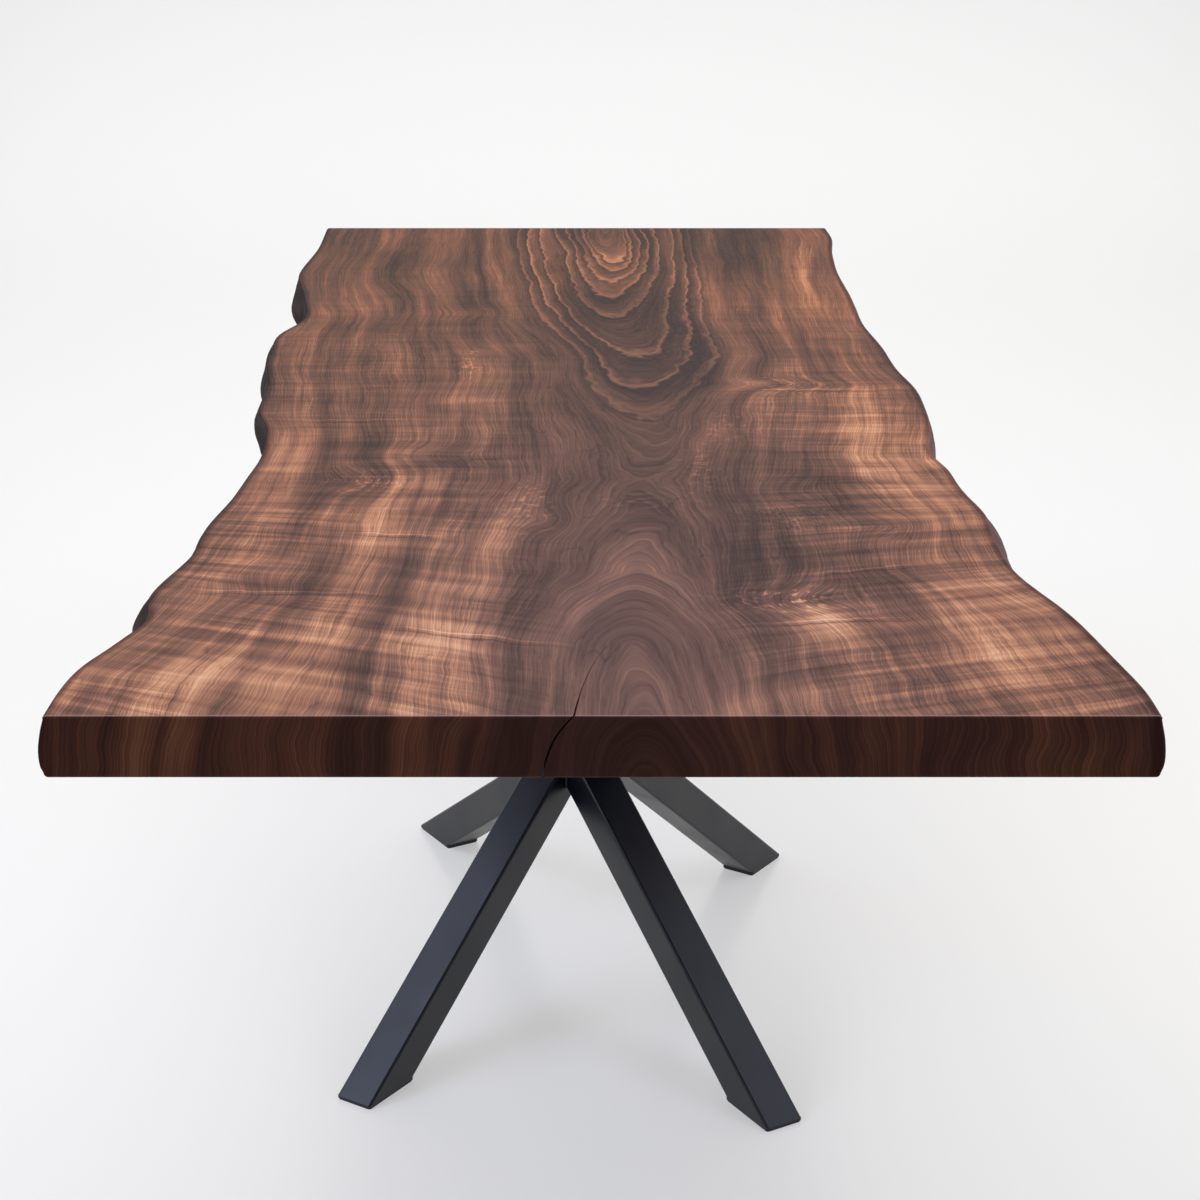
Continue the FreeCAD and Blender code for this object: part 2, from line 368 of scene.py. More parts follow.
# %% The blade of the shake
shake_radius = 0.0827
shake_length = 0.170
shake_width = 0.0017
shake_tip_width = 0.0005
shake_taper = 0.7
shake_wander = 0.0008
shake_wander_length = 0.024
shake_wander_height = 0.020
shake_rows = 26
shake_levels = 14
overrun = 0.002


def shake_x(y, z):
    """Where the ring of the shake lies at one y and height."""
    across, depth = pith_at(y)
    rise = depth - (slab_top - z)
    lump = Vector((0.0, y / shake_wander_length, z / shake_wander_height))
    wander = shake_wander * noise.noise(lump)
    return float(across - math.sqrt(max(shake_radius ** 2 - rise ** 2, 0.0)) + wander)


def skin(mesh, lines):
    """Faces between neighbouring lines of vertices."""
    for near, far in zip(lines, lines[1:]):
        for index in range(len(near) - 1):
            mesh.faces.new((near[index], near[index + 1], far[index + 1], far[index]))


def add_shake(mesh):
    """A thin curved wedge, widest at the end face."""
    rings = []
    for row in range(shake_rows + 1):
        share = row / shake_rows
        y = slab_low.y - overrun + (shake_length + overrun) * share
        extra_width = (shake_width - shake_tip_width) * (1 - share) ** shake_taper
        half = (shake_tip_width + extra_width) / 2
        heights = np.linspace(slab_low.z - overrun, slab_top + overrun, shake_levels)
        right = [mesh.verts.new((shake_x(y, z) + half, y, z)) for z in heights]
        left = [mesh.verts.new((shake_x(y, z) - half, y, z)) for z in heights]
        rings.append(right + left[::-1] + right[:1])
    skin(mesh, rings)
    for ring in (rings[0], rings[-1]):
        right = ring[:shake_levels]
        left = ring[shake_levels:2 * shake_levels][::-1]
        skin(mesh, [right, left])


print("shake at the top, metres right of the middle:", round(shake_x(slab_low.y, slab_top), 3))

# %% [markdown]
# The second is the set of blind bores for the threaded inserts. The frame says where they
# go, since each loose part of its screws is one screw. Blade and bores go into one cutter and one
# Boolean, which is quicker than one for each.

# %% Cut the shake and the insert bores
same_place = 1e-6
bore_radius = 0.0067
bore_depth = 0.026
bore_sides = 32


def islands(name):
    """The low and high corners of each loose part of a frame node."""
    mesh = bmesh.new()
    mesh.from_mesh(nodes[name].data)
    bmesh.ops.remove_doubles(mesh, verts=mesh.verts, dist=same_place)
    found, seen = [], set()
    for first in mesh.verts:
        if first in seen:
            continue
        stack, part = [first], []
        seen.add(first)
        while stack:
            vertex = stack.pop()
            part.append(vertex.co.copy())
            for edge in vertex.link_edges:
                other = edge.other_vert(vertex)
                if other not in seen:
                    seen.add(other)
                    stack.append(other)
        array = np.array(part)
        found.append((Vector(array.min(0)), Vector(array.max(0))))
    mesh.free()
    return found


bolt_boxes = islands("plate_bolts")


def add_bores(mesh):
    """One upright cylinder for each insert."""
    for low, high in bolt_boxes:
        centre = (low + high) / 2
        place = Vector((centre.x, centre.y, slab_low.z + (bore_depth - overrun) / 2))
        made = bmesh.ops.create_cone(
            mesh, cap_ends=True, segments=bore_sides, radius1=bore_radius, radius2=bore_radius,
            depth=bore_depth + overrun)
        bmesh.ops.translate(mesh, verts=made["verts"], vec=place)


def cut_slab():
    """Take the shake and the bores out of the slab."""
    cutter_mesh = bmesh.new()
    add_shake(cutter_mesh)
    add_bores(cutter_mesh)
    bmesh.ops.recalc_face_normals(cutter_mesh, faces=cutter_mesh.faces)
    data = bpy.data.meshes.new("cutter")
    cutter_mesh.to_mesh(data)
    cutter_mesh.free()
    cutter = bpy.data.objects.new("cutter", data)
    bpy.context.scene.collection.objects.link(cutter)
    cut = slab.modifiers.new("cut", "BOOLEAN")
    cut.operation = "DIFFERENCE"
    cut.solver = "EXACT"
    cut.object = cutter
    evaluated = slab.evaluated_get(bpy.context.evaluated_depsgraph_get())
    result = bpy.data.meshes.new_from_object(evaluated)
    slab.modifiers.remove(cut)
    slab.data = result
    bpy.data.objects.remove(cutter)


cut_slab()
print("faces after the cuts:", len(slab.data.polygons), "bores:", len(bolt_boxes))

# %% [markdown]
# The flat faces should shade flat and the rounded ones smooth. Edges that turn by more than a
# chosen angle are marked sharp, and everything else is smoothed.

# %% Smooth shading by angle
sharp_degrees = 38


def shade(mesh, degrees=sharp_degrees):
    """Smooth shading, with sharp edges where two faces turn by more than the angle."""
    work = bmesh.new()
    work.from_mesh(mesh)
    limit = math.radians(degrees)
    for face in work.faces:
        face.smooth = True
    for edge in work.edges:
        edge.smooth = len(edge.link_faces) == 2 and edge.calc_face_angle(0.0) < limit
    work.to_mesh(mesh)
    work.free()


shade(slab.data)
print("faces shaded:", len(slab.data.polygons), "sharp from", sharp_degrees, "degrees")

# %% [markdown]
# Every vertex now learns its place in the log: how far it lies across from the pith, how far along
# and how far above the pith. Across, the place is stretched so that the outer rings follow the
# live edges, as they must, since the live edge is the last ring of all. Towards the near end the
# heart of the trunk is narrower, so the inner rings are squeezed together there. The place is kept
# as a vertex attribute, which the wood's material reads.

# %% Give each vertex its place in the log
heart_start = 0.32
heart_narrowing = 0.55
follow_passes = 60

follow_left = smoothed(edge_x[-1][:, -1], follow_passes)
follow_right = smoothed(edge_x[1][:, -1], follow_passes)


def places_in_log(mesh):
    """The place of each vertex in the log, one row of three for each."""
    points = np.zeros(len(mesh.vertices) * 3)
    mesh.vertices.foreach_get("co", points)
    x, y, z = points.reshape(-1, 3).T
    across, depth = pith_at(y)
    left_reach = across - np.interp(y, stations, follow_left)
    right_reach = np.interp(y, stations, follow_right) - across
    offset = x - across
    reach = np.where(offset < 0, left_reach, right_reach)
    mean_reach = np.where(offset < 0, left_reach.mean(), right_reach.mean())
    share = np.clip(np.abs(offset) / reach, 0, 1)
    follow = share * share * (3 - 2 * share)
    straight = offset * (1 - follow + follow * mean_reach / reach)
    near_share = np.clip(1 - (y - slab_low.y) / slab_length / heart_start, 0, 1)
    straight *= 1 + heart_narrowing * near_share * (1 - share) ** 2
    return np.stack([straight, y, z - slab_top + depth], 1)


def rim_shares(mesh):
    """How near each vertex is to a live edge: one at the edge, nothing a column further in."""
    points = np.zeros(len(mesh.vertices) * 3)
    mesh.vertices.foreach_get("co", points)
    x, y, _ = points.reshape(-1, 3).T
    left = np.interp(y, stations, edge_x[-1][:, -1])
    right = np.interp(y, stations, edge_x[1][:, -1])
    column = (right - left) / top_columns
    nearest = np.minimum(x - left, right - x) - arris_radius
    return np.clip(1 - nearest / column, 0, 1)


rim = slab.data.attributes.new("rim", "FLOAT", "POINT")
rim.data.foreach_set("value", rim_shares(slab.data).astype(np.float32))
log_places = places_in_log(slab.data)
place_in_log = slab.data.attributes.new("place_in_log", "FLOAT_VECTOR", "POINT")
place_in_log.data.foreach_set("vector", log_places.astype(np.float32).ravel())
print("widest place across the log:", round(float(np.abs(log_places[:, 0]).max()), 3))

# %% [markdown]
# Black walnut, planed, sanded and oiled, has a dull sheen over brown wood with purple-grey and
# copper streaks. Its material is built up in steps. The helpers for all of them come first: a
# noise whose lumps have real sizes, a place pushed about by such a noise, and a row of soft hills.

# %% Noise with real sizes and soft hills
hill_fall = math.exp(-1)


def pattern(tree, place, sizes, detail=2.0):
    """A noise whose lumps have known sizes in metres."""
    scales = tuple(1 / size for size in sizes)
    scaled = add(tree, "ShaderNodeVectorMath", {0: place, 1: scales}, operation="MULTIPLY")
    return add(tree, "ShaderNodeTexNoise", {"Vector": scaled, "Scale": 1.0, "Detail": detail})


def shifted_by_noise(tree, place, sizes, reach, detail=2.0):
    """A place moved by a noise of known size, as far as the reach in each direction."""
    lumps = pattern(tree, place, sizes, detail)
    centred = add(tree, "ShaderNodeVectorMath",
                  {0: lumps.outputs["Color"], 1: (0.5, 0.5, 0.5)}, operation="SUBTRACT")
    return add(tree, "ShaderNodeVectorMath", {0: centred, 1: reach, 2: place},
               operation="MULTIPLY_ADD")


def with_hills(tree, point, value, hills):
    """A value raised or lowered round some places of the slab, each through its whole depth."""
    for x, length_share, half_width, half_length, lift in hills:
        scale = Vector((1 / half_width, 1 / half_length, 0.0))
        centre = Vector((x, slab_low.y + slab_length * length_share, slab_top))
        away = add(tree, "ShaderNodeVectorMath", {0: point, 1: scale, 2: -(centre * scale)},
                   operation="MULTIPLY_ADD")
        squared = add(tree, "ShaderNodeVectorMath", {0: away, 1: away}, operation="DOT_PRODUCT")
        hill = add(tree, "ShaderNodeMath", {0: hill_fall, 1: squared}, operation="POWER")
        value = add(tree, "ShaderNodeMath", {0: hill, 1: lift, 2: value},
                    operation="MULTIPLY_ADD")
    return value


print("a hill at its half width keeps", round(hill_fall, 2), "of its height")

# %% [markdown]
# The material starts from the place in the log. A slow noise bends it, as real trunks are bent,
# and a fast one makes the rings wavy. The distance from the pith then gives the age of the wood,
# and knots swell that distance locally, so that the rings swirl round them.

# %% The age field of the wood
bend_size = (0.13, 0.40, 0.13)
bend_push = (0.050, 0.0, 0.022)
wave_size = (0.036, 0.055, 0.036)
wave_push = (0.008, 0.0, 0.0026)

# Metres right of the middle, share of the length, half width, half length and swell of each knot
knots = [
    (-0.254, 0.317, 0.034, 0.050, 0.026),
    (-0.190, 0.362, 0.060, 0.040, -0.018),
    (0.176, 0.134, 0.050, 0.050, 0.030),
    (0.236, 0.511, 0.075, 0.026, -0.026),
    (0.196, 0.300, 0.040, 0.050, 0.018),
    (-0.046, 0.250, 0.026, 0.050, 0.012),
    (-0.330, 0.140, 0.060, 0.045, 0.020),
    (0.300, 0.240, 0.055, 0.050, -0.018),
    (-0.180, 0.700, 0.045, 0.040, 0.014),
]


def age_field(tree, point, place):
    """Distance from the pith, and the wavy place in the log as three numbers."""
    bent = shifted_by_noise(tree, place, bend_size, bend_push)
    wavy = shifted_by_noise(tree, bent, wave_size, wave_push, 3.0)
    parts = add(tree, "ShaderNodeSeparateXYZ", {0: wavy})
    flat = add(tree, "ShaderNodeCombineXYZ", {0: parts.outputs[0], 2: parts.outputs[2]})
    age = add(tree, "ShaderNodeVectorMath", {0: flat}, operation="LENGTH")
    return with_hills(tree, point, age, knots), parts


print("knots:", len(knots))

# %% [markdown]
# How light the wood is at a point is kept as one number, its tone, and the colour is looked up
# from it at the end: purple-brown where it is dark, copper and gold where it is light. Many things
# add to the tone. The first are the long streaks of pigment, the annual rings with a pale line
# and dark late wood, and thin dark veins. All of these run along the grain, so they are drawn in
# the wood's own coordinates: age, place along and place across.

# %% Streaks, rings and veins
streak_size = (0.048, 0.75, 0.35)
band_size = (0.013, 0.40, 0.35)
bundle_size = (0.0042, 0.30, 0.35)
ring_pitch = 0.0029
ring_drift = 0.016
ring_drift_size = (0.030, 0.60, 0.35)
ring_stops = [(0.0, 0.95), (0.16, 0.50), (0.62, 0.42), (0.86, 0.10), (1.0, 0.95)]
vein_size = (0.022, 0.33, 0.35)
vein_width = 0.010
fibre_size = (0.0016, 0.070, 0.35)


def summed(tree, start, parts):
    """A start plus each part times its weight, where a part of one half adds nothing."""
    total = start
    for part, weight in parts:
        centred = add(tree, "ShaderNodeMath", {0: part, 1: -0.5}, operation="ADD")
        total = add(tree, "ShaderNodeMath", {0: centred, 1: weight, 2: total},
                    operation="MULTIPLY_ADD")
    return total


def annual_rings(tree, wood, age):
    """Thin even rings: a pale line, early wood and dark late wood."""
    drift = pattern(tree, wood, ring_drift_size)
    drifted = add(tree, "ShaderNodeMath", {0: drift, 1: ring_drift, 2: age},
                  operation="MULTIPLY_ADD")
    rings = add(tree, "ShaderNodeMath", {0: drifted, 1: ring_pitch}, operation="DIVIDE")
    ring_share = add(tree, "ShaderNodeMath", {0: rings}, operation="FRACT")
    return add(tree, "ShaderNodeValToRGB", {"Fac": ring_share}, stops=ring_stops)


def veins(tree, wood):
    """Thin dark lines where a noise crosses its middle, and a half elsewhere."""
    lumps = pattern(tree, wood, vein_size)
    offset = add(tree, "ShaderNodeMath", {0: lumps, 1: 0.5}, operation="SUBTRACT")
    away = add(tree, "ShaderNodeMath", {0: offset}, operation="ABSOLUTE")
    return add(tree, "ShaderNodeMapRange",
               {"Value": away, "From Max": vein_width, "To Min": -0.5, "To Max": 0.5},
               interpolation_type="SMOOTHSTEP")


print("rings to a centimetre:", round(0.01 / ring_pitch, 1))

# %% [markdown]
# The cathedral is the nest of arches where the rings run out of the top. A few strong rings show
# there as pale scalloped lines, each with darker wood behind it. The scallops come from adding
# the size of a noise to the age: its folds make the little cusps.

# %% The cathedral arches
# Each line has its place as a share of the reach, and the grey rises before it and falls after
arch_reach = 0.16
arch_lines = [0.205, 0.25, 0.318, 0.394, 0.494, 0.656, 0.762, 0.862]
arch_before = 0.022
arch_after = 0.013

# The greys inside all lines, between two, on a line, just outside it and outside them all
arch_greys = (0.30, 0.50, 0.90, 0.12, 0.45)

scallop_size = (0.030, 0.048, 0.034)
scallop_depth = 0.013


def arches(tree, place, age):
    """Pale lines at a few rings round the pith, with dark wood outside each."""
    lumps = pattern(tree, place, scallop_size, 1.0)
    offset = add(tree, "ShaderNodeMath", {0: lumps, 1: 0.5}, operation="SUBTRACT")
    folded = add(tree, "ShaderNodeMath", {0: offset}, operation="ABSOLUTE")
    scalloped = add(tree, "ShaderNodeMath", {0: folded, 1: scallop_depth, 2: age},
                    operation="MULTIPLY_ADD")
    share = add(tree, "ShaderNodeMath", {0: scalloped, 1: arch_reach}, operation="DIVIDE")
    inside, between, on_line, just_outside, outside = arch_greys
    stops = [(0.0, inside)]
    for line in arch_lines:
        stops.append((line - arch_before, between))
        stops.append((line, on_line))
        stops.append((line + arch_after, just_outside))
    stops.append((1.0, outside))
    return add(tree, "ShaderNodeValToRGB", {"Fac": share}, stops=stops)


print("arches:", len(arch_lines))

# %% [markdown]
# Next comes the figure. Where the fibres ripple, they shine in turns light and dark across the
# grain, most of all on both sides near the near end. That shine is painted into the tone as light
# and dark stripes and ripples, a painted sheen over really rippled fibres. The ripples lean back
# towards the edges.

# %% The rippled figure and its painted sheen
stripe_size = (0.15, 0.034, 0.15)
ripple_size = (0.10, 0.011, 0.15)
figure_patch_size = (0.17, 0.20, 0.30)

# Each pair says where a share starts and where it is full
figure_lean = 0.6
lean_along = (-0.35, -1.05)
figure_beside = (0.05, 0.20)
figure_along = (0.9, -0.7)
far_figure = 0.10
figure_levels = (0.36, 0.58)


def painted_sheen_figure(tree, place, beside, along):
    """Broad stripes and fine ripples of painted sheen across the grain, each with the share of it
    that shows.
    """
    parts = add(tree, "ShaderNodeSeparateXYZ", {0: place})
    lean = add(tree, "ShaderNodeMapRange",
               {"Value": along, "From Min": lean_along[0], "From Max": lean_along[1],
                "To Max": -figure_lean})
    leaned = add(tree, "ShaderNodeMath", {0: beside, 1: lean, 2: along},
                 operation="MULTIPLY_ADD")
    figure_place = add(tree, "ShaderNodeCombineXYZ",
                       {0: parts.outputs[0], 1: leaned, 2: parts.outputs[2]})
    outer = add(tree, "ShaderNodeMapRange",
                {"Value": beside, "From Min": figure_beside[0], "From Max": figure_beside[1]},
                interpolation_type="SMOOTHSTEP")
    near = add(tree, "ShaderNodeMapRange",
               {"Value": along, "From Min": figure_along[0], "From Max": figure_along[1],
                "To Min": far_figure})
    patch = add(tree, "ShaderNodeMapRange",
                {"Value": pattern(tree, place, figure_patch_size, 1.0),
                 "From Min": figure_levels[0], "From Max": figure_levels[1]},
                interpolation_type="SMOOTHSTEP")
    stripe_share = add(tree, "ShaderNodeMath", {0: outer, 1: near}, operation="MULTIPLY")
    ripple_share = add(tree, "ShaderNodeMath", {0: stripe_share, 1: patch}, operation="MULTIPLY")
    return (pattern(tree, figure_place, stripe_size, 1.5), stripe_share,
            pattern(tree, figure_place, ripple_size, 2.0), ripple_share)


print("ripples to ten centimetres:", round(0.1 / ripple_size[1]))

# %% [markdown]
# Some clouds of light and dark wood are too plain on this board to leave to chance, so these are
# listed one by one as soft hills. The material later bends them out of shape with a noise.

# %% Clouds of light and dark wood
cloud_bend_size = (0.075, 0.110, 0.075)
cloud_bend = (0.055, 0.095, 0.0)

# Metres right of the middle, share of the length, half width, half length and lift of the tone
clouds = [
    (-0.142, 0.570, 0.034, 0.420, 0.10),
    (-0.276, 0.250, 0.085, 0.080, 0.16),
    (-0.165, 0.088, 0.095, 0.050, 0.14),
    (-0.390, 0.035, 0.070, 0.040, 0.18),
    (-0.300, 0.050, 0.100, 0.060, 0.15),
    (-0.105, 0.240, 0.038, 0.110, 0.06),
    (0.215, 0.490, 0.040, 0.280, 0.16),
    (0.205, 0.105, 0.038, 0.110, 0.28),
    (0.330, 0.105, 0.080, 0.100, 0.28),
    (0.262, 0.222, 0.045, 0.090, 0.20),
    (0.335, 0.340, 0.070, 0.240, 0.26),
    (0.270, 0.440, 0.110, 0.200, 0.27),
    (0.290, 0.760, 0.080, 0.260, 0.28),
    (0.370, 0.640, 0.050, 0.230, 0.15),
    (0.000, 0.860, 0.150, 0.220, 0.22),
    (0.020, 0.330, 0.085, 0.260, -0.20),
    (-0.350, 0.360, 0.050, 0.180, 0.08),
    (-0.295, 0.882, 0.070, 0.110, -0.14),
    (-0.343, 0.665, 0.050, 0.070, -0.15),
    (-0.203, 0.600, 0.036, 0.280, -0.16),
    (-0.194, 0.365, 0.045, 0.075, -0.22),
    (-0.091, 0.840, 0.030, 0.150, -0.12),
    (0.125, 0.520, 0.038, 0.270, -0.14),
    (0.165, 0.190, 0.062, 0.110, -0.26),
    (0.035, 0.070, 0.060, 0.130, -0.13),
    (-0.300, 0.830, 0.100, 0.250, -0.05),
    (0.265, 0.022, 0.040, 0.040, -0.20),
    (0.112, 0.065, 0.034, 0.110, -0.16),
    (-0.278, 0.135, 0.065, 0.070, -0.20),
    (0.275, 0.150, 0.030, 0.070, -0.10),
    (0.185, 0.870, 0.050, 0.130, -0.10),
]

print("clouds:", len(clouds))

# %% [markdown]
# Round the knots lie short pale curls of fibre. And a few single ripples shine so strongly that
# they look like creases, with a painted highlight on one side and painted shade on the other. Each
# is a pair of long thin hills, turned to its own lean and bent by a noise.

# %% Curls and creases
curl_size = (0.0050, 0.0110, 0.05)
curl_levels = (0.54, 0.68)

# Places where short pale curls lie round a knot, with the strength of each
curl_places = [
    (-0.254, 0.317, 0.045, 0.045, 0.8),
    (0.176, 0.134, 0.060, 0.040, 1.0),
    (0.236, 0.511, 0.060, 0.050, 0.8),
    (0.196, 0.258, 0.040, 0.060, 0.7),
    (0.037, 0.282, 0.030, 0.040, 0.6),
    (-0.075, 0.270, 0.035, 0.120, 0.5),
    (0.105, 0.330, 0.022, 0.100, 0.6),
    (-0.170, 0.560, 0.020, 0.090, 0.5),
    (0.125, 0.640, 0.025, 0.080, 0.5),
    (0.150, 0.420, 0.030, 0.090, 0.4),
]

# A few single creases cross the grain: where each middle lies, its half length and its lean
creases = [
    (-0.118, 0.0900, 0.075, -0.32),
    (-0.205, 0.2270, 0.045, -0.12),
    (-0.300, 0.1450, 0.070, -0.05),
    (-0.300, 0.4330, 0.060, 0.04),
    (0.205, 0.1080, 0.070, 0.16),
    (0.255, 0.1760, 0.060, 0.30),
    (0.255, 0.5000, 0.080, 0.02),
]
crease_half_width = 0.0019
crease_shift = 0.0090
# The painted highlight along each crease and the painted shade on its near side
crease_highlight = 0.28
crease_shade = -0.28
crease_bend_size = (0.045, 0.050, 0.050)
crease_bend = (0.0, 0.024, 0.0)


def with_creases(tree, point, value):
    """A value raised along each crease as a painted highlight, and lowered on its near side as
    painted shade.
    """
    point = shifted_by_noise(tree, point, crease_bend_size, crease_bend)
    for x, length_share, half_length, lean in creases:
        centre = Vector((x, slab_low.y + slab_length * length_share, slab_top))
        turned_point = add(tree, "ShaderNodeVectorRotate",
                           {"Vector": point, "Center": centre, "Angle": -math.atan(lean)})
        share = length_share - crease_shift / slab_length
        pale = (x, length_share, half_length, crease_half_width, crease_highlight)
        dark = (x, share, half_length, crease_half_width, crease_shade)
        value = with_hills(tree, turned_point, value, [pale, dark])
    return value


def pale_curls(tree, point, wood):
    """Short pale curls, only round the knots."""
    lumps = pattern(tree, wood, curl_size, 1.0)
    curls = add(tree, "ShaderNodeMapRange",
                {"Value": lumps, "From Min": curl_levels[0], "From Max": curl_levels[1]},
                interpolation_type="SMOOTHSTEP")
    share = with_hills(tree, point, 0.0, curl_places)
    return add(tree, "ShaderNodeMath", {0: curls, 1: share}, operation="MULTIPLY")


print("curls:", len(curl_places), "creases:", len(creases))

# %% [markdown]
# All these parts are now weighed and added up to the tone. Both sides are a little lighter than
# the middle, and the near end is lightened further by a painted sheen. The arches show most in the
# far half, where the pith comes up to the top.

# %% The tone of the wood
# The tone before any part is added, and the tone at the light end of the ramps
tone_start = 0.35
tone_span = 1.25

# How much each part adds
streak_weight = 1.15
band_weight = 0.52
bundle_weight = 0.36
ring_weight = 0.28
inner_ring_weight = 0.084
vein_weight = 0.10
fibre_weight = 0.34
# The stripes and ripples are a painted sheen on the rippled fibres
stripe_weight = 0.76
ripple_weight = 0.65
curl_weight = 0.40
arch_weights = (0.08, 0.76)
side_lift = 0.15
# A painted sheen that lightens the near end
near_painted_sheen = 0.19

# Where each share starts and ends: by age, beside the pith, or along the slab from its middle
ring_ages = (0.08, 0.20)
arch_ages = (0.158, 0.125)
arch_along = (-0.5, 0.1)
side_beside = (0.08, 0.40)
near_along = (-0.3, -1.0)


def wood_tone(tree, point, place):
    """How light the wood is, how far beside the pith and how far along, and its place in it."""
    age, parts = age_field(tree, point, place)
    along = parts.outputs[1]
    wood = add(tree, "ShaderNodeCombineXYZ", {0: age, 1: along, 2: parts.outputs[0]})
    beside = add(tree, "ShaderNodeMath", {0: parts.outputs[0]}, operation="ABSOLUTE")
    stripes, stripe_share, ripples, ripple_share = painted_sheen_figure(tree, place, beside, along)
    stripe_part = add(tree, "ShaderNodeMath", {0: stripe_share, 1: stripe_weight},
                      operation="MULTIPLY")
    ripple_part = add(tree, "ShaderNodeMath", {0: ripple_share, 1: ripple_weight},
                      operation="MULTIPLY")
    ring_part = add(tree, "ShaderNodeMapRange",
                    {"Value": age, "From Min": ring_ages[0], "From Max": ring_ages[1],
                     "To Min": inner_ring_weight, "To Max": ring_weight})
    near_pith = add(tree, "ShaderNodeMapRange",
                    {"Value": age, "From Min": arch_ages[0], "From Max": arch_ages[1]},
                    interpolation_type="SMOOTHSTEP")
    far_half = add(tree, "ShaderNodeMapRange",
                   {"Value": along, "From Min": arch_along[0], "From Max": arch_along[1],
                    "To Min": arch_weights[0], "To Max": arch_weights[1]})
    arch_part = add(tree, "ShaderNodeMath", {0: near_pith, 1: far_half}, operation="MULTIPLY")
    side = add(tree, "ShaderNodeMapRange",
               {"Value": beside, "From Min": side_beside[0], "From Max": side_beside[1],
                "To Max": side_lift})
    # Painted sheen: the tone is lifted towards the near end
    near = add(tree, "ShaderNodeMapRange",
               {"Value": along, "From Min": near_along[0], "From Max": near_along[1],
                "To Max": near_painted_sheen})
    side_lift_and_near_sheen = add(tree, "ShaderNodeMath", {0: side, 1: near}, operation="ADD")
    start = add(tree, "ShaderNodeMath", {0: side_lift_and_near_sheen, 1: tone_start}, operation="ADD")
    bent_point = shifted_by_noise(tree, point, cloud_bend_size, cloud_bend)
    start = with_hills(tree, bent_point, start, clouds)
    start = with_creases(tree, point, start)
    curls = add(tree, "ShaderNodeMath",
                {0: pale_curls(tree, point, wood), 1: curl_weight, 2: start},
                operation="MULTIPLY_ADD")
    tone = summed(tree, curls, [
        (pattern(tree, wood, streak_size, 3.0), streak_weight),
        (pattern(tree, wood, band_size, 2.0), band_weight),
        (pattern(tree, wood, bundle_size, 1.0), bundle_weight),
        (annual_rings(tree, wood, age), ring_part),
        (veins(tree, wood), vein_weight),
        (pattern(tree, wood, fibre_size, 2.0), fibre_weight),
        (stripes, stripe_part),
        (ripples, ripple_part),
        (arches(tree, place, age), arch_part),
    ])
    return tone, beside, along, wood


print("the streaks move the tone by up to", streak_weight / 2, "either way")

# %% [markdown]
# The sawn ends drink more oil, so they are darker, and the tops are darker along their rims beside
# the live edges. The live edges get painted shade where they face left and a pinkish-grey painted
# light where they face right, and the arrises of the sawn ends get a paler painted highlight. On
# the live edges, just under where the bark was, the fibres show as long thin lines. Which of these
# a point belongs to is told by the way its face looks.

# %% Live edges, arrises and sawn ends
# The size of the fibres, and how far a face looks sideways where they start and are full
bark_grain_size = (0.040, 0.085, 0.0040)
bark_grain_turns = (0.25, 0.70)
bark_grain_weight = 0.95

# An end's arris starts to show, shows fully, starts to fade and is gone as its faces turn down
arris_turns = (0.10, 0.35, 0.55, 0.80)

# What a mask looks at, where it starts and ends, its strength, its blending and its colour
face_masks = [
    ("rim", 0.66, 1.0, 1.0, "MULTIPLY", "#a08e92"),
    # Painted shade: live-edge faces that look left are darkened
    ("rightward", -0.20, -0.55, 1.0, "MULTIPLY", "#7c6a6a"),
    # Painted light: live-edge faces that look right are drawn towards a pinkish-grey sheen
    ("rightward", 0.20, 0.55, 0.5, "MIX", "#7a6061"),
    # Painted highlight: the arrises of the sawn ends are made paler
    ("arris", 0.0, 0.9, 0.40, "MIX", "#b39a9b"),
    ("endward", 0.50, 0.85, 0.5, "MIX", "#4a3330"),
    ("endward", 0.50, 0.85, 1.0, "MULTIPLY", "#ae9f9c"),
]


def directions(tree):
    """How far each face looks right or endward, and how far it is of a rim or an end's arris."""
    normal = add(tree, "ShaderNodeNewGeometry").outputs["Normal"]
    parts = add(tree, "ShaderNodeSeparateXYZ", {0: normal})
    endward = add(tree, "ShaderNodeMath", {0: parts.outputs[1]}, operation="ABSOLUTE")
    rise = add(tree, "ShaderNodeMapRange",
               {"Value": endward, "From Min": arris_turns[0], "From Max": arris_turns[1]})
    fall = add(tree, "ShaderNodeMapRange",
               {"Value": endward, "From Min": arris_turns[2], "From Max": arris_turns[3]})
    turning = add(tree, "ShaderNodeMath", {0: rise, 1: fall}, operation="SUBTRACT")
    return {
        "rim": add(tree, "ShaderNodeAttribute", attribute_name="rim").outputs["Fac"],
        "rightward": parts.outputs[0],
        "arris": add(tree, "ShaderNodeMath", {0: turning, 1: parts.outputs[2]},
                     operation="MULTIPLY", use_clamp=True),
        "endward": endward,
    }


def with_bark_grain(tree, point, tone, looks):
    """The tone with long fine fibres added on the live edges."""
    sideward = add(tree, "ShaderNodeMath", {0: looks["rightward"]}, operation="ABSOLUTE")
    grain_part = add(tree, "ShaderNodeMapRange",
                     {"Value": sideward, "From Min": bark_grain_turns[0],
                      "From Max": bark_grain_turns[1], "To Max": bark_grain_weight})
    return summed(tree, tone, [(pattern(tree, point, bark_grain_size, 4.0), grain_part)])


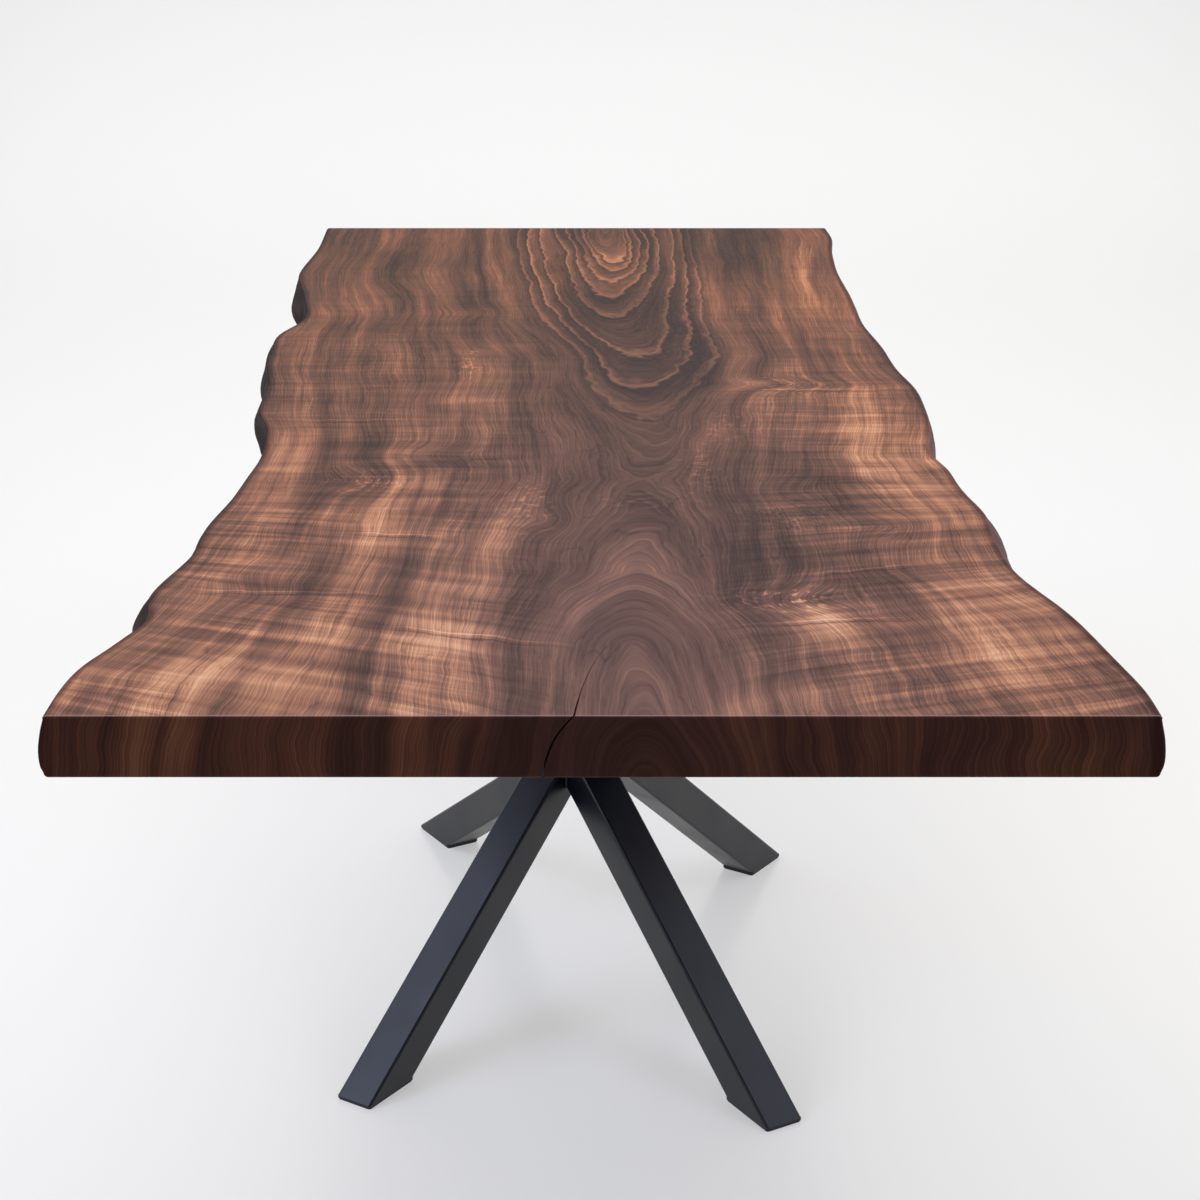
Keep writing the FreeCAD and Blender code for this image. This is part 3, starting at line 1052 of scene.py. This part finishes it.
def faces_with_painted_light(tree, colour, looks):
    """The colour made darker on the rims and the sawn ends, with painted shade on the live edges
    that face left, painted light on those that face right and a painted highlight on end arrises.
    """
    for look, low, high, most, blending, shade_colour in face_masks:
        share = add(tree, "ShaderNodeMapRange",
                    {"Value": looks[look], "From Min": low, "From Max": high, "To Max": most},
                    interpolation_type="SMOOTHSTEP")
        colour = add(tree, "ShaderNodeMix",
                     {"Factor": share, "A": colour, "B": linear(shade_colour)},
                     data_type="RGBA", blend_type=blending)
    return colour


print("masks:", len(face_masks))

# %% [markdown]
# The tone is looked up in two ramps. One is the plain brown of the board, the other the more
# purple heartwood that lies along the middle and towards the near end. The oil has soaked in and
# left no film, so the sheen is weak and broad, and the fine pores show in it more than in the
# colour. They are a fifth of a millimetre wide, too fine to show, so they are drawn coarser.

# %% The walnut material
purple_beside = (0.30, 0.04)
purple_shares = (0.5, 0.9)
purple_along = (0.6, -0.9)

pore_size = (0.0009, 0.014, 0.35)
pore_levels = (0.3, 0.7)
pore_depth = 0.0004
pore_strength = 0.12
oil_dullness = (0.70, 0.60)
oil_sheen = 0.07
oil_ior = 1.45

brown_stops = [
    (0.0, "#2d1a16"), (0.18, "#43291d"), (0.34, "#5d3b2a"), (0.47, "#764a34"),
    (0.60, "#945e41"), (0.72, "#b07650"), (0.85, "#c9946c"), (1.0, "#d6a681")]
purple_stops = [
    (0.0, "#2d1e1c"), (0.18, "#422d2a"), (0.34, "#583e39"), (0.47, "#6f5048"),
    (0.60, "#8f6656"), (0.72, "#af7f67"), (0.85, "#c8997c"), (1.0, "#d5ab90")]


def walnut():
    """The tone of the wood looked up in two ramps, darker on its faces, under dull oil."""
    material, tree = new_material("oiled_black_walnut")
    point = add(tree, "ShaderNodeTexCoord").outputs["Object"]
    place = add(tree, "ShaderNodeAttribute", attribute_name="place_in_log").outputs["Vector"]
    looks = directions(tree)
    full_tone, beside, along, wood = wood_tone(tree, point, place)
    full_tone = with_bark_grain(tree, point, full_tone, looks)
    tone = add(tree, "ShaderNodeMapRange", {"Value": full_tone, "From Max": tone_span})
    brown = add(tree, "ShaderNodeValToRGB", {"Fac": tone}, stops=brown_stops)
    purple = add(tree, "ShaderNodeValToRGB", {"Fac": tone}, stops=purple_stops)
    middle = add(tree, "ShaderNodeMapRange",
                 {"Value": beside, "From Min": purple_beside[0], "From Max": purple_beside[1],
                  "To Min": purple_shares[0], "To Max": purple_shares[1]})
    near = add(tree, "ShaderNodeMapRange",
               {"Value": along, "From Min": purple_along[0], "From Max": purple_along[1]})
    purple_share = add(tree, "ShaderNodeMath", {0: middle, 1: near}, operation="MULTIPLY")
    colour = add(tree, "ShaderNodeMix", {"Factor": purple_share, "A": brown, "B": purple},
                 data_type="RGBA")
    colour = faces_with_painted_light(tree, colour, looks)
    pores = pattern(tree, wood, pore_size, 1.0)
    dullness = add(tree, "ShaderNodeMapRange",
                   {"Value": pores, "From Min": pore_levels[0], "From Max": pore_levels[1],
                    "To Min": oil_dullness[0], "To Max": oil_dullness[1]})
    bump = add(tree, "ShaderNodeBump",
               {"Height": pores, "Strength": pore_strength, "Distance": pore_depth})
    shader = add(tree, "ShaderNodeBsdfPrincipled",
                 {"Base Color": colour, "Roughness": dullness, "Normal": bump, "IOR": oil_ior,
                  "Specular IOR Level": oil_sheen})
    add(tree, "ShaderNodeOutputMaterial", {"Surface": shader})
    return material


slab.data.materials.clear()
slab.data.materials.append(walnut())
for polygon in slab.data.polygons:
    polygon.material_index = 0
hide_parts("walnut_slab")
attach(slab, "root")
print("nodes in the walnut material:", len(slab.data.materials[0].node_tree.nodes))

# %% [markdown]
# The base is mild steel tube with a black powder coat: a dry paint, sprayed on and baked. It is
# satin, a little uneven like orange peel at the scale of a millimetre or two, and thin dust and
# handling leave very faint cloudy marks. It is a paint, so it isn't metallic. The other small
# finishes are built in the same way, of a cloudy tint and a fine grain, so one recipe serves all.

# %% Powder-coated steel
cloudy_levels = (0.3, 0.7)


def clouded_finish(name, cloud_sizes, colours, dullness, grain_sizes, grain_height, **constants):
    """A finish with a cloudy tint and sheen, and a fine grain that stands a given height."""
    material, tree = new_material(name)
    point = add(tree, "ShaderNodeTexCoord").outputs["Object"]
    cloudy = pattern(tree, point, cloud_sizes, 4.0)
    tint = add(tree, "ShaderNodeValToRGB", {"Fac": cloudy},
               stops=list(zip(cloudy_levels, colours)))
    rough = add(tree, "ShaderNodeMapRange",
                {"Value": cloudy, "From Min": cloudy_levels[0], "From Max": cloudy_levels[1],
                 "To Min": dullness[0], "To Max": dullness[1]})
    grain = pattern(tree, point, grain_sizes)
    bump = add(tree, "ShaderNodeBump", {"Height": grain, "Distance": grain_height})
    shader = add(tree, "ShaderNodeBsdfPrincipled",
                 {"Base Color": tint, "Roughness": rough, "Normal": bump, **constants})
    add(tree, "ShaderNodeOutputMaterial", {"Surface": shader})
    return material


def powder_coat():
    return clouded_finish(
        "black_powder_coat", cloud_sizes=(0.07, 0.07, 0.07), colours=("#0a0d15", "#0f131d"),
        dullness=(0.32, 0.42), grain_sizes=(0.0016, 0.0016, 0.0016), grain_height=0.00002,
        IOR=1.46)


def dress(material, *starts):
    """Give a material to every frame node whose name has one of these starts."""
    dressed = [name for name in nodes if name.startswith(starts)]
    for name in dressed:
        nodes[name].data.materials.clear()
        nodes[name].data.materials.append(material)
    return dressed


powder_coated = powder_coat()
steel_nodes = dress(powder_coated, "tube_", "leg_", "arm_", "mounting_plate_", "foot_cap_")
print("powder-coated pieces:", len(steel_nodes))

# %% [markdown]
# Under each foot lies a thin pad of black rubber, cut from sheet. It is dull and slightly dusty,
# with the fine matt grain that the sheet's mould leaves. The grain is too fine to show, so it is
# drawn about four times as coarse.

# %% Rubber pads
def rubber():
    return clouded_finish(
        "black_sheet_rubber", cloud_sizes=(0.0040, 0.0040, 0.0040),
        colours=("#141414", "#222222"), dullness=(0.75, 0.90),
        grain_sizes=(0.0012, 0.0012, 0.0012), grain_height=0.00009, IOR=1.52)


pad_nodes = dress(rubber(), "foot_pad_")
print("pads:", len(pad_nodes))

# %% [markdown]
# The base is bolted up into the slab by sixteen socket screws with washers, which turn in steel
# sleeves set in the wood. They are bright zinc plate on steel, with the faint turning marks of
# small turned parts. It is a metal, so its colour is the colour of its reflections.

# %% Zinc plate
def zinc():
    return clouded_finish(
        "zinc_plated_steel", cloud_sizes=(0.0020, 0.0020, 0.0010),
        colours=("#9a9da3", "#b9bbbf"), dullness=(0.25, 0.40),
        grain_sizes=(0.0020, 0.0020, 0.0003), grain_height=0.00001, Metallic=1.0)


zinc_plated = zinc()
print("finish of the fasteners:", zinc_plated.name)

# %% [markdown]
# All screws are alike, so one geometry tree makes a screw from its sizes and sets it on every
# place, each turned by its own random angle, as hand-tightened screws are. A second tree makes a
# plain ring, which serves the washers and the sleeves alike. Both take the same steps: named sizes
# come in, a round bar is stood up, one bar is cut out of another, and the part is set in place. Set
# copies are only references to one part, so at the end they are made real, and get the material.

# %% Steps of a geometry tree
turned_sides = 40
hexagon_sides = 6
screw_seed = 7


def geometry_tree(name, sizes):
    """A new geometry tree and its inputs: the geometry that comes in, and the named sizes."""
    tree = bpy.data.node_groups.new(name, "GeometryNodeTree")
    tree.interface.new_socket("Geometry", in_out="INPUT", socket_type="NodeSocketGeometry")
    for size in sizes:
        tree.interface.new_socket(size, in_out="INPUT", socket_type="NodeSocketFloat")
    tree.interface.new_socket("Geometry", in_out="OUTPUT", socket_type="NodeSocketGeometry")
    return tree, add(tree, "NodeGroupInput").outputs


def turned(tree, radius, height, bottom, sides=turned_sides):
    """An upright round bar of a radius and a height, standing on a level."""
    bar = add(tree, "GeometryNodeMeshCylinder",
              {"Vertices": sides, "Radius": radius, "Depth": height})
    middle = add(tree, "ShaderNodeMath", {0: height, 1: 0.5, 2: bottom}, operation="MULTIPLY_ADD")
    lift = add(tree, "ShaderNodeCombineXYZ", {2: middle})
    return add(tree, "GeometryNodeTransform", {"Geometry": bar, "Translation": lift})


def cut_away(tree, solid, tool):
    """One solid with another taken out of it."""
    return add(tree, "GeometryNodeMeshBoolean", {"Mesh 1": solid, "Mesh 2": tool},
               operation="DIFFERENCE", solver="EXACT")


def set_on_places(tree, places, part):
    """Copies of a part, one on every place, each at its own random turn."""
    turn = add(tree, "FunctionNodeRandomValue",
               {"Min": (0.0, 0.0, 0.0), "Max": (0.0, 0.0, math.tau), "Seed": screw_seed},
               data_type="FLOAT_VECTOR")
    return add(tree, "GeometryNodeInstanceOnPoints",
               {"Points": places, "Instance": part, "Rotation": turn})


def finish_tree(tree, shape, material):
    """Make a shape real, give it its material and let it out of the tree."""
    real = add(tree, "GeometryNodeRealizeInstances", {"Geometry": shape})
    dressed = add(tree, "GeometryNodeSetMaterial", {"Geometry": real, "Material": material})
    add(tree, "NodeGroupOutput", {0: dressed})


print("sides of a turned part:", turned_sides, "and of a socket:", hexagon_sides)

# %% [markdown]
# A screw is a round head with a hexagon socket cut in from below, and a plain shank. A ring is one
# round bar with a thinner one cut out of it.

# %% A tree for screws and one for rings
def screw_tree(material):
    """A socket screw, head down: head, shank and hexagon socket."""
    tree, sizes = geometry_tree("socket_screw", [
        "Head Radius", "Head Height", "Shank Radius", "Shank Length", "Socket Radius",
        "Socket Depth"])
    below = add(tree, "ShaderNodeMath", {0: sizes["Head Height"], 1: -1.0}, operation="MULTIPLY")
    head = turned(tree, sizes["Head Radius"], sizes["Head Height"], below)
    socket_height = add(tree, "ShaderNodeMath", {0: sizes["Socket Depth"], 1: 2.0},
                        operation="MULTIPLY")
    socket_bottom = add(tree, "ShaderNodeMath", {0: below, 1: sizes["Socket Depth"]},
                        operation="SUBTRACT")
    socket = turned(tree, sizes["Socket Radius"], socket_height, socket_bottom, hexagon_sides)
    shank = turned(tree, sizes["Shank Radius"], sizes["Shank Length"], 0.0)
    parts = add(tree, "GeometryNodeJoinGeometry", {0: [cut_away(tree, head, socket), shank]})
    finish_tree(tree, set_on_places(tree, sizes["Geometry"], parts), material)
    return tree


def ring_tree(material):
    """A plain ring: a washer or a sleeve."""
    tree, sizes = geometry_tree("plain_ring", ["Outer Radius", "Inner Radius", "Height"])
    outer = turned(tree, sizes["Outer Radius"], sizes["Height"], 0.0)
    through = add(tree, "ShaderNodeMath", {0: sizes["Height"], 1: 3.0}, operation="MULTIPLY")
    below = add(tree, "ShaderNodeMath", {0: sizes["Height"], 1: -1.0}, operation="MULTIPLY")
    bore = turned(tree, sizes["Inner Radius"], through, below)
    ring = cut_away(tree, outer, bore)
    finish_tree(tree, set_on_places(tree, sizes["Geometry"], ring), material)
    return tree


screw_growth = screw_tree(zinc_plated)
small_rings = ring_tree(zinc_plated)

print("geometry trees:", screw_growth.name, small_rings.name)

# %% [markdown]
# The screws are M8 with a low head and a 5 mm hexagon socket, so that they stay clear of a
# sitter's knees. Each goes up through its washer and the plate into the sleeve, whose outside
# fills the bore in the wood. The clearance between shank and ring is a fifth of a millimetre. The
# places and the sizes are read off the frame's own flat-sided fasteners, which these round ones
# stand for. A tree runs as a modifier, and its result is then kept as a plain mesh.

# %% Screws, washers and sleeves
socket_across = 0.0050
socket_depth = 0.0030
shank_radius = 0.0040
screw_clearance = 0.0002

washer_boxes = islands("plate_washers")
sleeve_boxes = islands("threaded_inserts")
sleeve_height = sleeve_boxes[0][1].z - sleeve_boxes[0][0].z
washer_height = washer_boxes[0][1].z - washer_boxes[0][0].z
washer_radius = (washer_boxes[0][1].x - washer_boxes[0][0].x) / 2
head_radius = (bolt_boxes[0][1].x - bolt_boxes[0][0].x) / 2
head_height = washer_boxes[0][0].z - bolt_boxes[0][0].z


def grown(name, points, edges, tree, sizes):
    """Run a geometry tree on points and edges, and keep the result as a plain mesh object."""
    data = bpy.data.meshes.new(name)
    data.from_pydata(points, edges, [])
    piece = bpy.data.objects.new(name, data)
    bpy.context.scene.collection.objects.link(piece)
    growth = piece.modifiers.new("growth", "NODES")
    growth.node_group = tree
    for item in tree.interface.items_tree:
        if item.in_out == "INPUT" and item.name in sizes:
            growth[item.identifier] = float(sizes[item.name])
    evaluated = piece.evaluated_get(bpy.context.evaluated_depsgraph_get())
    result = bpy.data.meshes.new_from_object(evaluated)
    piece.modifiers.remove(growth)
    piece.data = result
    shade(result)
    return piece


def feet_of(boxes, z):
    """The middle of each box, at one height."""
    return [((low.x + high.x) / 2, (low.y + high.y) / 2, z) for low, high in boxes]


screws = grown("socket_screws", feet_of(bolt_boxes, washer_boxes[0][0].z), [], screw_growth, {
    "Head Radius": head_radius,
    "Head Height": head_height,
    "Shank Radius": shank_radius,
    "Shank Length": bolt_boxes[0][1].z - washer_boxes[0][0].z,
    "Socket Radius": socket_across / math.sqrt(3),
    "Socket Depth": socket_depth,
})
washers = grown("screw_washers", feet_of(washer_boxes, washer_boxes[0][0].z), [], small_rings, {
    "Outer Radius": washer_radius,
    "Inner Radius": shank_radius + screw_clearance,
    "Height": washer_height,
})
sleeves = grown("insert_sleeves", feet_of(sleeve_boxes, sleeve_boxes[0][0].z), [], small_rings, {
    "Outer Radius": (sleeve_boxes[0][1].x - sleeve_boxes[0][0].x) / 2,
    "Inner Radius": shank_radius + screw_clearance,
    "Height": sleeve_height,
})
for piece, node_name in (
    (screws, "plate_bolts"), (washers, "plate_washers"), (sleeves, "threaded_inserts"),
):
    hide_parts(node_name)
    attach(piece, "root")
    print(piece.name, "faces:", len(piece.data.polygons))

# %% [markdown]
# Where one tube ends on another, and where the tubes meet their plates, the steel is welded. The
# seams are found on the frame: they are the outer edges of one piece that lie on the face of the
# other. An edge that looks into a hollow of its own piece is inside a tube, so it gets no weld.

# %% Find the seams
seam_reach = 0.00020
seam_turn_degrees = 25
look_ahead = 0.060
step_off = 0.0004


def seam_edges(name, onto):
    """The outer edges of a piece that lie on other pieces, as pairs of points."""
    work = bmesh.new()
    work.from_mesh(nodes[name].data)
    bmesh.ops.remove_doubles(work, verts=work.verts, dist=same_place)
    own_faces = BVHTree.FromBMesh(work)
    other_faces = tree_of(*onto)
    on_other = {v for v in work.verts if other_faces.find_nearest(v.co)[3] < seam_reach}
    pairs = []
    for edge in work.edges:
        if len(edge.link_faces) < 2 or not on_other.issuperset(edge.verts):
            continue
        if edge.calc_face_angle(0.0) < math.radians(seam_turn_degrees):
            continue
        free = [f for f in edge.link_faces if not on_other.issuperset(f.verts)]
        middle = (edge.verts[0].co + edge.verts[1].co) / 2
        starts = [(middle + face.normal * step_off, face.normal) for face in free]
        if starts and all(own_faces.ray_cast(p, n, look_ahead)[0] is None for p, n in starts):
            pairs.append([v.co.copy() for v in edge.verts])
    work.free()
    return pairs


whole_tubes = ["tube_front_right", "tube_rear_left"]
sawn_tubes = [name for name in nodes if name.startswith(("leg_", "arm_"))]
plates = [name for name in nodes if name.startswith("mounting_plate")]
seams = []
for name in sawn_tubes:
    seams.extend(seam_edges(name, whole_tubes))
for name in sawn_tubes + whole_tubes:
    seams.extend(seam_edges(name, plates))
print("seam edges:", len(seams))

# %% [markdown]
# A weld is a bead of small overlapping ripples laid along the seam. A geometry tree runs a bead
# along every seam, its radius rising and falling with the ripples.

# %% Weld beads
bead_radius = 0.0019
ripple_pitch = 0.0030
ripple_share = 0.10
bead_step = 0.0008
bead_sides = 10
place_digits = 6


def bead_tree(material):
    """A rippled bead along every edge that it is given."""
    tree, sizes = geometry_tree("weld_bead", [
        "Bead Radius", "Ripple Pitch", "Ripple Share", "Step"])
    line = add(tree, "GeometryNodeMeshToCurve", {"Mesh": sizes["Geometry"]})
    fine = add(tree, "GeometryNodeResampleCurve", {"Curve": line, "Length": sizes["Step"]},
               mode="LENGTH")
    place = add(tree, "GeometryNodeSplineParameter").outputs["Length"]
    turns = add(tree, "ShaderNodeMath", {0: place, 1: sizes["Ripple Pitch"]}, operation="DIVIDE")
    angle = add(tree, "ShaderNodeMath", {0: turns, 1: math.tau}, operation="MULTIPLY")
    wave = add(tree, "ShaderNodeMath", {0: angle}, operation="SINE")
    swell = add(tree, "ShaderNodeMath", {0: wave, 1: sizes["Ripple Share"], 2: 1.0},
                operation="MULTIPLY_ADD")
    rippled = add(tree, "GeometryNodeSetCurveRadius", {"Curve": fine, "Radius": swell})
    profile = add(tree, "GeometryNodeCurvePrimitiveCircle",
                  {"Resolution": bead_sides, "Radius": sizes["Bead Radius"]})
    bead = add(tree, "GeometryNodeCurveToMesh",
               {"Curve": rippled, "Profile Curve": profile, "Fill Caps": True})
    finish_tree(tree, bead, material)
    return tree


def joined_points(pairs):
    """Pairs of points as a list of distinct points and a list of the edges between them."""
    numbers, edges = {}, []
    for pair in pairs:
        keys = [tuple(round(c, place_digits) for c in point) for point in pair]
        edges.append([numbers.setdefault(key, len(numbers)) for key in keys])
    return list(numbers), edges


beads = grown("weld_beads", *joined_points(seams), bead_tree(powder_coated), {
    "Bead Radius": bead_radius,
    "Ripple Pitch": ripple_pitch,
    "Ripple Share": ripple_share,
    "Step": bead_step,
})
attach(beads, "root")
print("faces of the beads:", len(beads.data.polygons))

# %% [markdown]
# The room is only a pale floor that sweeps up into a pale wall, as in a photographer's studio, so
# no line cuts the background. On the other three sides the same sweep stands far off, and the
# wall behind rises towards it, so that every view of the table ends on a pale ground.

# %% The studio sweep
# How far off a wall stands, how high it is and the radius at its foot: behind, and on other sides
back_wall = (5.5, 6.0, 2.5)
far_wall = (90.0, 18.0, 11.0)
cove_steps = 16


def wall_profile(distance, height, radius):
    """The distance and height of the points of one wall, from the end of the floor to its top."""
    points = []
    for step in range(cove_steps + 1):
        angle = math.pi / 2 * step / cove_steps
        points.append((distance - radius + radius * math.sin(angle),
                       radius - radius * math.cos(angle)))
    points.append((distance, height))
    return points


def studio_sweep():
    """Floor and walls as one smooth surface: at each place the higher of two profiles."""
    mesh = bmesh.new()
    far = wall_profile(*far_wall)
    far_first = [(-distance, z) for distance, z in reversed(far)]
    # From the table the back wall has to look as high at its sides as the far walls do
    rise = far_wall[1] / far_wall[0]
    level_top = back_wall[1] / rise
    columns = far_first + [(-level_top, 0.0), (level_top, 0.0)] + far
    lines = []
    for y, row_z in far_first + wall_profile(*back_wall):
        lines.append([mesh.verts.new((x, y, max(row_z, z))) for x, z in columns])
    for vertex in lines[-1]:
        vertex.co.z = max(vertex.co.z, rise * abs(vertex.co.x))
    skin(mesh, lines)
    bmesh.ops.reverse_faces(mesh, faces=[face for face in mesh.faces if face.normal.z < 0])
    for face in mesh.faces:
        face.smooth = True
    data = bpy.data.meshes.new("studio_sweep")
    mesh.to_mesh(data)
    mesh.free()
    sweep = bpy.data.objects.new("studio_sweep", data)
    bpy.context.scene.collection.objects.link(sweep)
    return sweep


sweep = studio_sweep()
print("faces of the studio sweep:", len(sweep.data.polygons))

# %% [markdown]
# The paint is pale and a little polished, and keeps soft shadows. To the camera and in
# reflections it shows its own even tone in part, so that the background stays light without more
# light on the table.

# %% Studio paint
paint_colour = "#f0efea"
background_colour = "#f4f4f4"
paint_dullness = 0.3
paint_evenness = 0.45


def studio_paint():
    """Matt paint that shows its own even tone in part, so that the background stays light."""
    material, tree = new_material("studio_paint")
    matt = add(tree, "ShaderNodeBsdfPrincipled",
               {"Base Color": linear(paint_colour), "Roughness": paint_dullness})
    tone = add(tree, "ShaderNodeEmission",
               {"Color": linear(background_colour), "Strength": 1.0})
    path = add(tree, "ShaderNodeLightPath")
    share = 0.0
    for ray in ("Is Camera Ray", "Is Glossy Ray", "Is Transmission Ray"):
        share = add(tree, "ShaderNodeMath", {0: path.outputs[ray], 1: share}, operation="MAXIMUM")
    share = add(tree, "ShaderNodeMath", {0: share, 1: paint_evenness}, operation="MULTIPLY")
    blend = add(tree, "ShaderNodeMixShader", {0: share, 1: matt, 2: tone})
    add(tree, "ShaderNodeOutputMaterial", {"Surface": blend})
    return material


sweep.data.materials.append(studio_paint())
print("share of its own tone:", paint_evenness)

# %% [markdown]
# The light is plain and soft: wide panels above the table and before the wall. Two smaller panels
# high on the left and the right have the blue of daylight and give the black legs their
# slate-blue sheen.

# %% Light panels
table_centre = Vector((0.0, 0.0, slab_top))

# Name, place, width, height, watts and colour of each panel
light_panels = [
    ("ceiling_panel", (0.0, 0.3, 3.4), 4.0, 5.0, 62.0, "#fffdfa"),
    ("far_panel", (0.0, 4.6, 3.3), 5.0, 2.2, 86.0, "#fffaf8"),
    ("left_panel", (-3.4, -0.6, 3.9), 2.4, 3.0, 80.0, "#c3d3ff"),
    ("right_panel", (3.5, -1.0, 3.9), 2.0, 2.6, 44.0, "#d4dfff"),
]


def add_panel(name, place, width, height, watts, colour):
    """A soft rectangular light that faces the table."""
    light = bpy.data.lights.new(name, "AREA")
    light.shape = "RECTANGLE"
    light.size, light.size_y = width, height
    light.energy = watts
    light.color = linear(colour)[:3]
    panel = bpy.data.objects.new(name, light)
    panel.location = place
    panel.rotation_euler = (table_centre - Vector(place)).to_track_quat("-Z", "Y").to_euler()
    bpy.context.scene.collection.objects.link(panel)


for panel_facts in light_panels:
    add_panel(*panel_facts)
print("panels:", len(light_panels))

# %% [markdown]
# A pale world glows all round. It is brighter on the left, as by a window, and dimmer towards the
# horizon, as the lower walls of a room are.

# %% The world
world_colour = "#f8f8fa"
world_left = 0.80
world_right = 0.30
world_horizon = 0.30
world_full_height = 0.5

world = bpy.data.worlds.new("studio_world")
bpy.context.scene.world = world
world.use_nodes = True
world.node_tree.nodes.clear()
direction = add(world.node_tree, "ShaderNodeTexCoord").outputs["Generated"]
rightward, _, upward = add(world.node_tree, "ShaderNodeSeparateXYZ", {0: direction}).outputs
across_glow = add(world.node_tree, "ShaderNodeMapRange",
                  {"Value": rightward, "From Min": -1.0, "From Max": 1.0,
                   "To Min": world_left, "To Max": world_right})
height_share = add(world.node_tree, "ShaderNodeMapRange",
                   {"Value": upward, "From Max": world_full_height, "To Min": world_horizon})
glow = add(world.node_tree, "ShaderNodeMath", {0: across_glow, 1: height_share},
           operation="MULTIPLY")
sky = add(world.node_tree, "ShaderNodeBackground",
          {"Color": linear(world_colour), "Strength": glow})
add(world.node_tree, "ShaderNodeOutputWorld", {"Surface": sky})
print("world strength from left to right:", world_left, world_right)

# %% [markdown]
# The camera stands at the near end, as high as a standing person's shoulder, and looks down along
# the slab through a long lens.

# %% The camera
camera_place = (-0.0015, -3.000, 1.525)
camera_pitch_degrees = 18.78
camera_lens = 75.0
camera_sensor = 36.0

camera = bpy.data.cameras.new("camera")
camera.lens = camera_lens
camera.sensor_width = camera_sensor
camera_object = bpy.data.objects.new("camera", camera)
camera_object.location = camera_place
camera_object.rotation_euler = (math.radians(90 - camera_pitch_degrees), 0.0, 0.0)
bpy.context.scene.collection.objects.link(camera_object)
bpy.context.scene.camera = camera_object
bpy.context.scene.view_settings.view_transform = "Standard"
print("camera height:", camera_place[2], "m")
